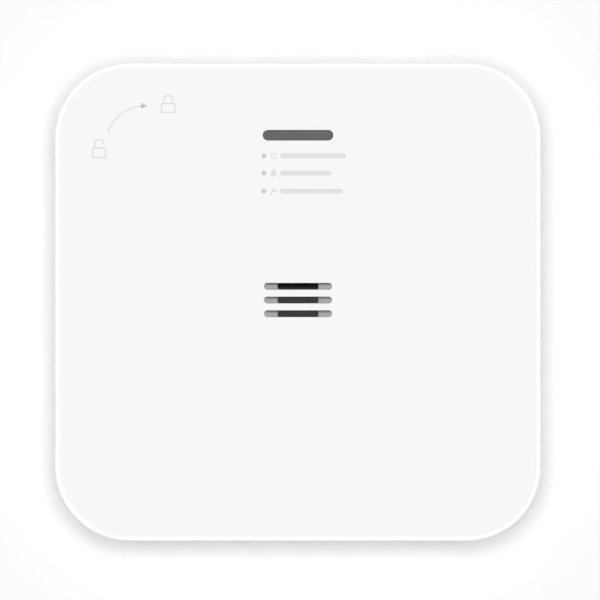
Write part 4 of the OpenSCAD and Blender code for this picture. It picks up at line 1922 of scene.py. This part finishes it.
@dataclass
class Stage:
    """White wall, pale floor, soft lights and the camera."""

    wall_y: float = 0.0001
    wall_half: float = 0.9
    floor_z: float = -0.3
    floor_half: float = 2.5
    camera: Point = (0.00041, -3.0, 0.00041)
    frame_w: float = 0.12346
    frame_plane: float = -0.0328
    sensor: float = 36.0
    sight: Spot = (0.1, 10.0)
    ambient: float = 0.07
    backdrop: float = 0.82
    wall_shade: float = 0.765
    lamps: Sequence[Lamp] = (
        Lamp("key_light", 1.122, (0.0, 1.0, -0.022), 17.0, False),
        Lamp("left_light", 0.17, (1.0, 0.0, 0.0), 14.0),
        Lamp("right_light", 0.16, (-1.0, 0.0, 0.0), 14.0),
        Lamp("top_light", 0.14, (0.0, 0.0, -1.0), 14.0),
        Lamp("low_light", 0.17, (0.0, 0.0, 1.0), 14.0),
        Lamp("back_light", 0.44, (0.03, -1.0, -0.12), 20.0),
    )

    def sheet(self, name: str, corners: Sequence[Point], material: bpy.types.Material) -> None:
        """Adds one flat sheet of the stage."""
        mesh = bpy.data.meshes.new(name)
        mesh.from_pydata(corners, [], [(0, 1, 2, 3)])
        mesh.materials.append(material)
        thing = bpy.data.objects.new(name, mesh)
        bpy.context.scene.collection.objects.link(thing)

    def wall_paint(self) -> bpy.types.Material:
        """Makes the wall's paint, which shows only from the room side and casts no shadow."""
        graph = Graph("wall_paint")
        white = graph.add("ShaderNodeBsdfDiffuse", {}, {"Color": (*[self.wall_shade] * 3, 1.0)})
        clear = graph.add("ShaderNodeBsdfTransparent", {}, {})
        behind = graph.add("ShaderNodeNewGeometry", {}, {}, "Backfacing")
        shadow = graph.add("ShaderNodeLightPath", {}, {}, "Is Shadow Ray")
        unseen = graph.add("ShaderNodeMath", {"operation": "MAXIMUM"}, {0: behind, 1: shadow})
        return graph.show(graph.add("ShaderNodeMixShader", {}, {0: unseen, 1: white, 2: clear}))

    def floor_paint(self) -> bpy.types.Material:
        """Makes the floor's paint, which is seen as an even grey and lights nothing."""
        graph = Graph("floor_paint")
        grey = graph.add("ShaderNodeEmission", {}, {"Color": (*[self.backdrop] * 3, 1.0)})
        clear = graph.add("ShaderNodeBsdfTransparent", {}, {})
        seen = graph.add("ShaderNodeLightPath", {}, {}, "Is Camera Ray")
        return graph.show(graph.add("ShaderNodeMixShader", {}, {0: seen, 1: clear, 2: grey}))

    def surround(self) -> bpy.types.World:
        """Makes an even pale surround whose light is weaker than it looks."""
        graph = Graph("pale_room", world=True)
        seen = graph.add("ShaderNodeLightPath", {}, {}, "Is Camera Ray")
        strength = graph.add("ShaderNodeMix", {}, {0: seen, 2: self.ambient, 3: self.backdrop})
        return graph.dress({"Color": (1.0, 1.0, 1.0), "Strength": strength})

    def build(self) -> None:
        """Builds the stage."""
        scene = bpy.context.scene
        scene.view_settings.view_transform = "Standard"
        half, y, low, far = self.wall_half, self.wall_y, self.floor_z, self.floor_half
        wall = [(-half, y, low), (half, y, low), (half, y, half), (-half, y, half)]
        self.sheet("backdrop_wall", wall, self.wall_paint())
        floor = [(-far, -far, low), (far, -far, low), (far, far, low), (-far, far, low)]
        self.sheet("pale_floor", floor, self.floor_paint())
        for lamp in self.lamps:
            lamp.build()
        scene.world = self.surround()
        data = bpy.data.cameras.new("camera")
        data.sensor_width = self.sensor
        data.lens = self.sensor * (self.frame_plane - self.camera[1]) / self.frame_w
        data.clip_start, data.clip_end = self.sight
        camera = bpy.data.objects.new("camera", data)
        camera.location = self.camera
        camera.rotation_euler = (math.pi / 2, 0.0, 0.0)
        scene.collection.objects.link(camera)
        scene.camera = camera


# ---------- the whole detector ----------


def finishes() -> dict[str, bpy.types.Material]:
    """Builds the finishes that several parts share, by their slot in the record."""
    upright = (12.0, 12.0, 1.0)
    made = (
        MouldedPlastic("bracket_plastic", (0.74, 0.74, 0.73), 0.45),
        MouldedPlastic("button_plastic", (0.78, 0.78, 0.78), 0.4, 0.2),
        SmokedLens("smoked_lens", (0.116, 0.116, 0.116)),
        ClearResin("clear_guide", (0.85, 0.9, 0.92)),
        SolderMask("board_green", (0.03, 0.2, 0.08), (0.05, 0.3, 0.12)),
        Metal("screw_steel", (0.6, 0.6, 0.6), 0.32),
        Metal("sensor_steel", (0.65, 0.65, 0.66), 0.28, stretch=upright),
        MouldedPlastic("black_plastic", (0.03, 0.03, 0.03), 0.45, mottle=0.1),
        Foam("black_foam", (0.04, 0.04, 0.04)),
        Metal("gold_pins", (0.8, 0.6, 0.2), 0.2),
        Metal("sounder_brass", (0.72, 0.53, 0.2), 0.25),
        MouldedPlastic("white_ceramic", (0.85, 0.84, 0.8), 0.35, 0.08, 0.004),
        MouldedPlastic("red_wire", (0.6, 0.03, 0.03), 0.4, 0.3),
        MouldedPlastic("black_wire", (0.03, 0.03, 0.03), 0.4, 0.3),
        ClearResin("green_lamp", (0.1, 0.5, 0.15), 0.4),
        ClearResin("red_lamp", (0.6, 0.05, 0.05), 0.4),
        ClearResin("yellow_lamp", (0.75, 0.6, 0.1), 0.4),
        MouldedPlastic("grey_plastic", (0.2, 0.2, 0.21), 0.45, mottle=0.04),
        Metal("contact_nickel", (0.75, 0.74, 0.7), 0.26),
        Metal("capacitor_aluminium", (0.75, 0.75, 0.76), 0.3, stretch=upright),
        MouldedPlastic("ferrite", (0.12, 0.12, 0.12), 0.6, 0.3, 0.02, 0.15),
        MouldedPlastic("chip_tan", (0.55, 0.42, 0.28), 0.4, 0.2, 0.008, 0.05),
    )
    return {finish.name: finish.material() for finish in made}


def main() -> None:
    """Builds the stage and every piece."""
    logging.basicConfig(level=logging.INFO, format="%(message)s")
    Stage().build()
    shared = finishes()
    cover, mesh, light = Span.of("front_cover"), Span.of("dust_mesh"), Span.of("light_bar")
    bracket, button, label = Span.of("mounting_bracket"), Span.of("test_button"), Span.of("rating_label")
    screws = CoverScrews(Span.of("cover_screws"))
    # plain face white, then the painted highlight of the rounded edges, the painted shade of the groove
    # floors and the painted shadow under the grooves' upper edges
    white, edge, floor, painted_shade = ((grey,) * 3 for grey in (0.8, 0.93, 0.33, 0.04))
    shell = GroovedShell("white_shell", white, edge, floor, painted_shade, cover.front, mesh.mid_y)
    front_cover = FrontCover(cover, mesh, light, button, screws.places())
    front_cover.build(shell.material())
    contacts = [Span.of(node) for node in ("positive_contact", "negative_contact", "bridge_contact")]
    upper, lower = Span.of("battery_upper"), Span.of("battery_lower")
    strip, plate_gap, top_window = 0.355, 1.5, 2.5
    slots = [
        (contacts[0].right - strip, upper.mid_y), (contacts[1].right - strip, lower.mid_y),
        (contacts[2].left + strip, upper.mid_y),
    ]
    recess_r = bracket.width / 2 + plate_gap
    rear_finish = MouldedPlastic("white_rear_shell", white)
    rear = RearHousing(cover, Span.of("rear_housing"), screws.places(), recess_r, slots)
    rear.build(rear_finish.material())
    WallBracket(bracket).build(shared["bracket_plastic"])
    LightBar(light).build(shared["smoked_lens"])
    TestButton(button, cover.right - front_cover.wall).build(shared["button_plastic"])
    # the second colour is painted shade on the thread behind the top groove, from top_window above the mesh's
    # middle
    thread = WovenThread("dark_mesh", (0.068,) * 3, (0.008,) * 3, mesh.mid_y + top_window)
    DustMesh(mesh).build(thread.material(), shared["black_plastic"])
    screws.build(shared["screw_steel"])
    film = LabelFilm("label_paper", label, (0.8, 0.8, 0.79), (0.25, 0.25, 0.26))
    RatingLabel(label).build(film.material())
    for node, room, way in (("battery_upper", upper, 1.0), ("battery_lower", lower, -1.0)):
        sleeve = CellSleeve(f"sleeve_{node}", (0.05, 0.065, 0.11), (0.62, 0.36, 0.16), room.mid_x, way)
        BatteryCell(node, room, way).build(sleeve.material(), shared["contact_nickel"])
    pale, grey = Ink("pale_ink", (0.64,) * 3), Ink("grey_ink", (0.52,) * 3)
    FrontPrint(cover.front).build(pale.material(), grey.material())
    InnerParts().dress(shared)


if __name__ == "__main__":
    main()
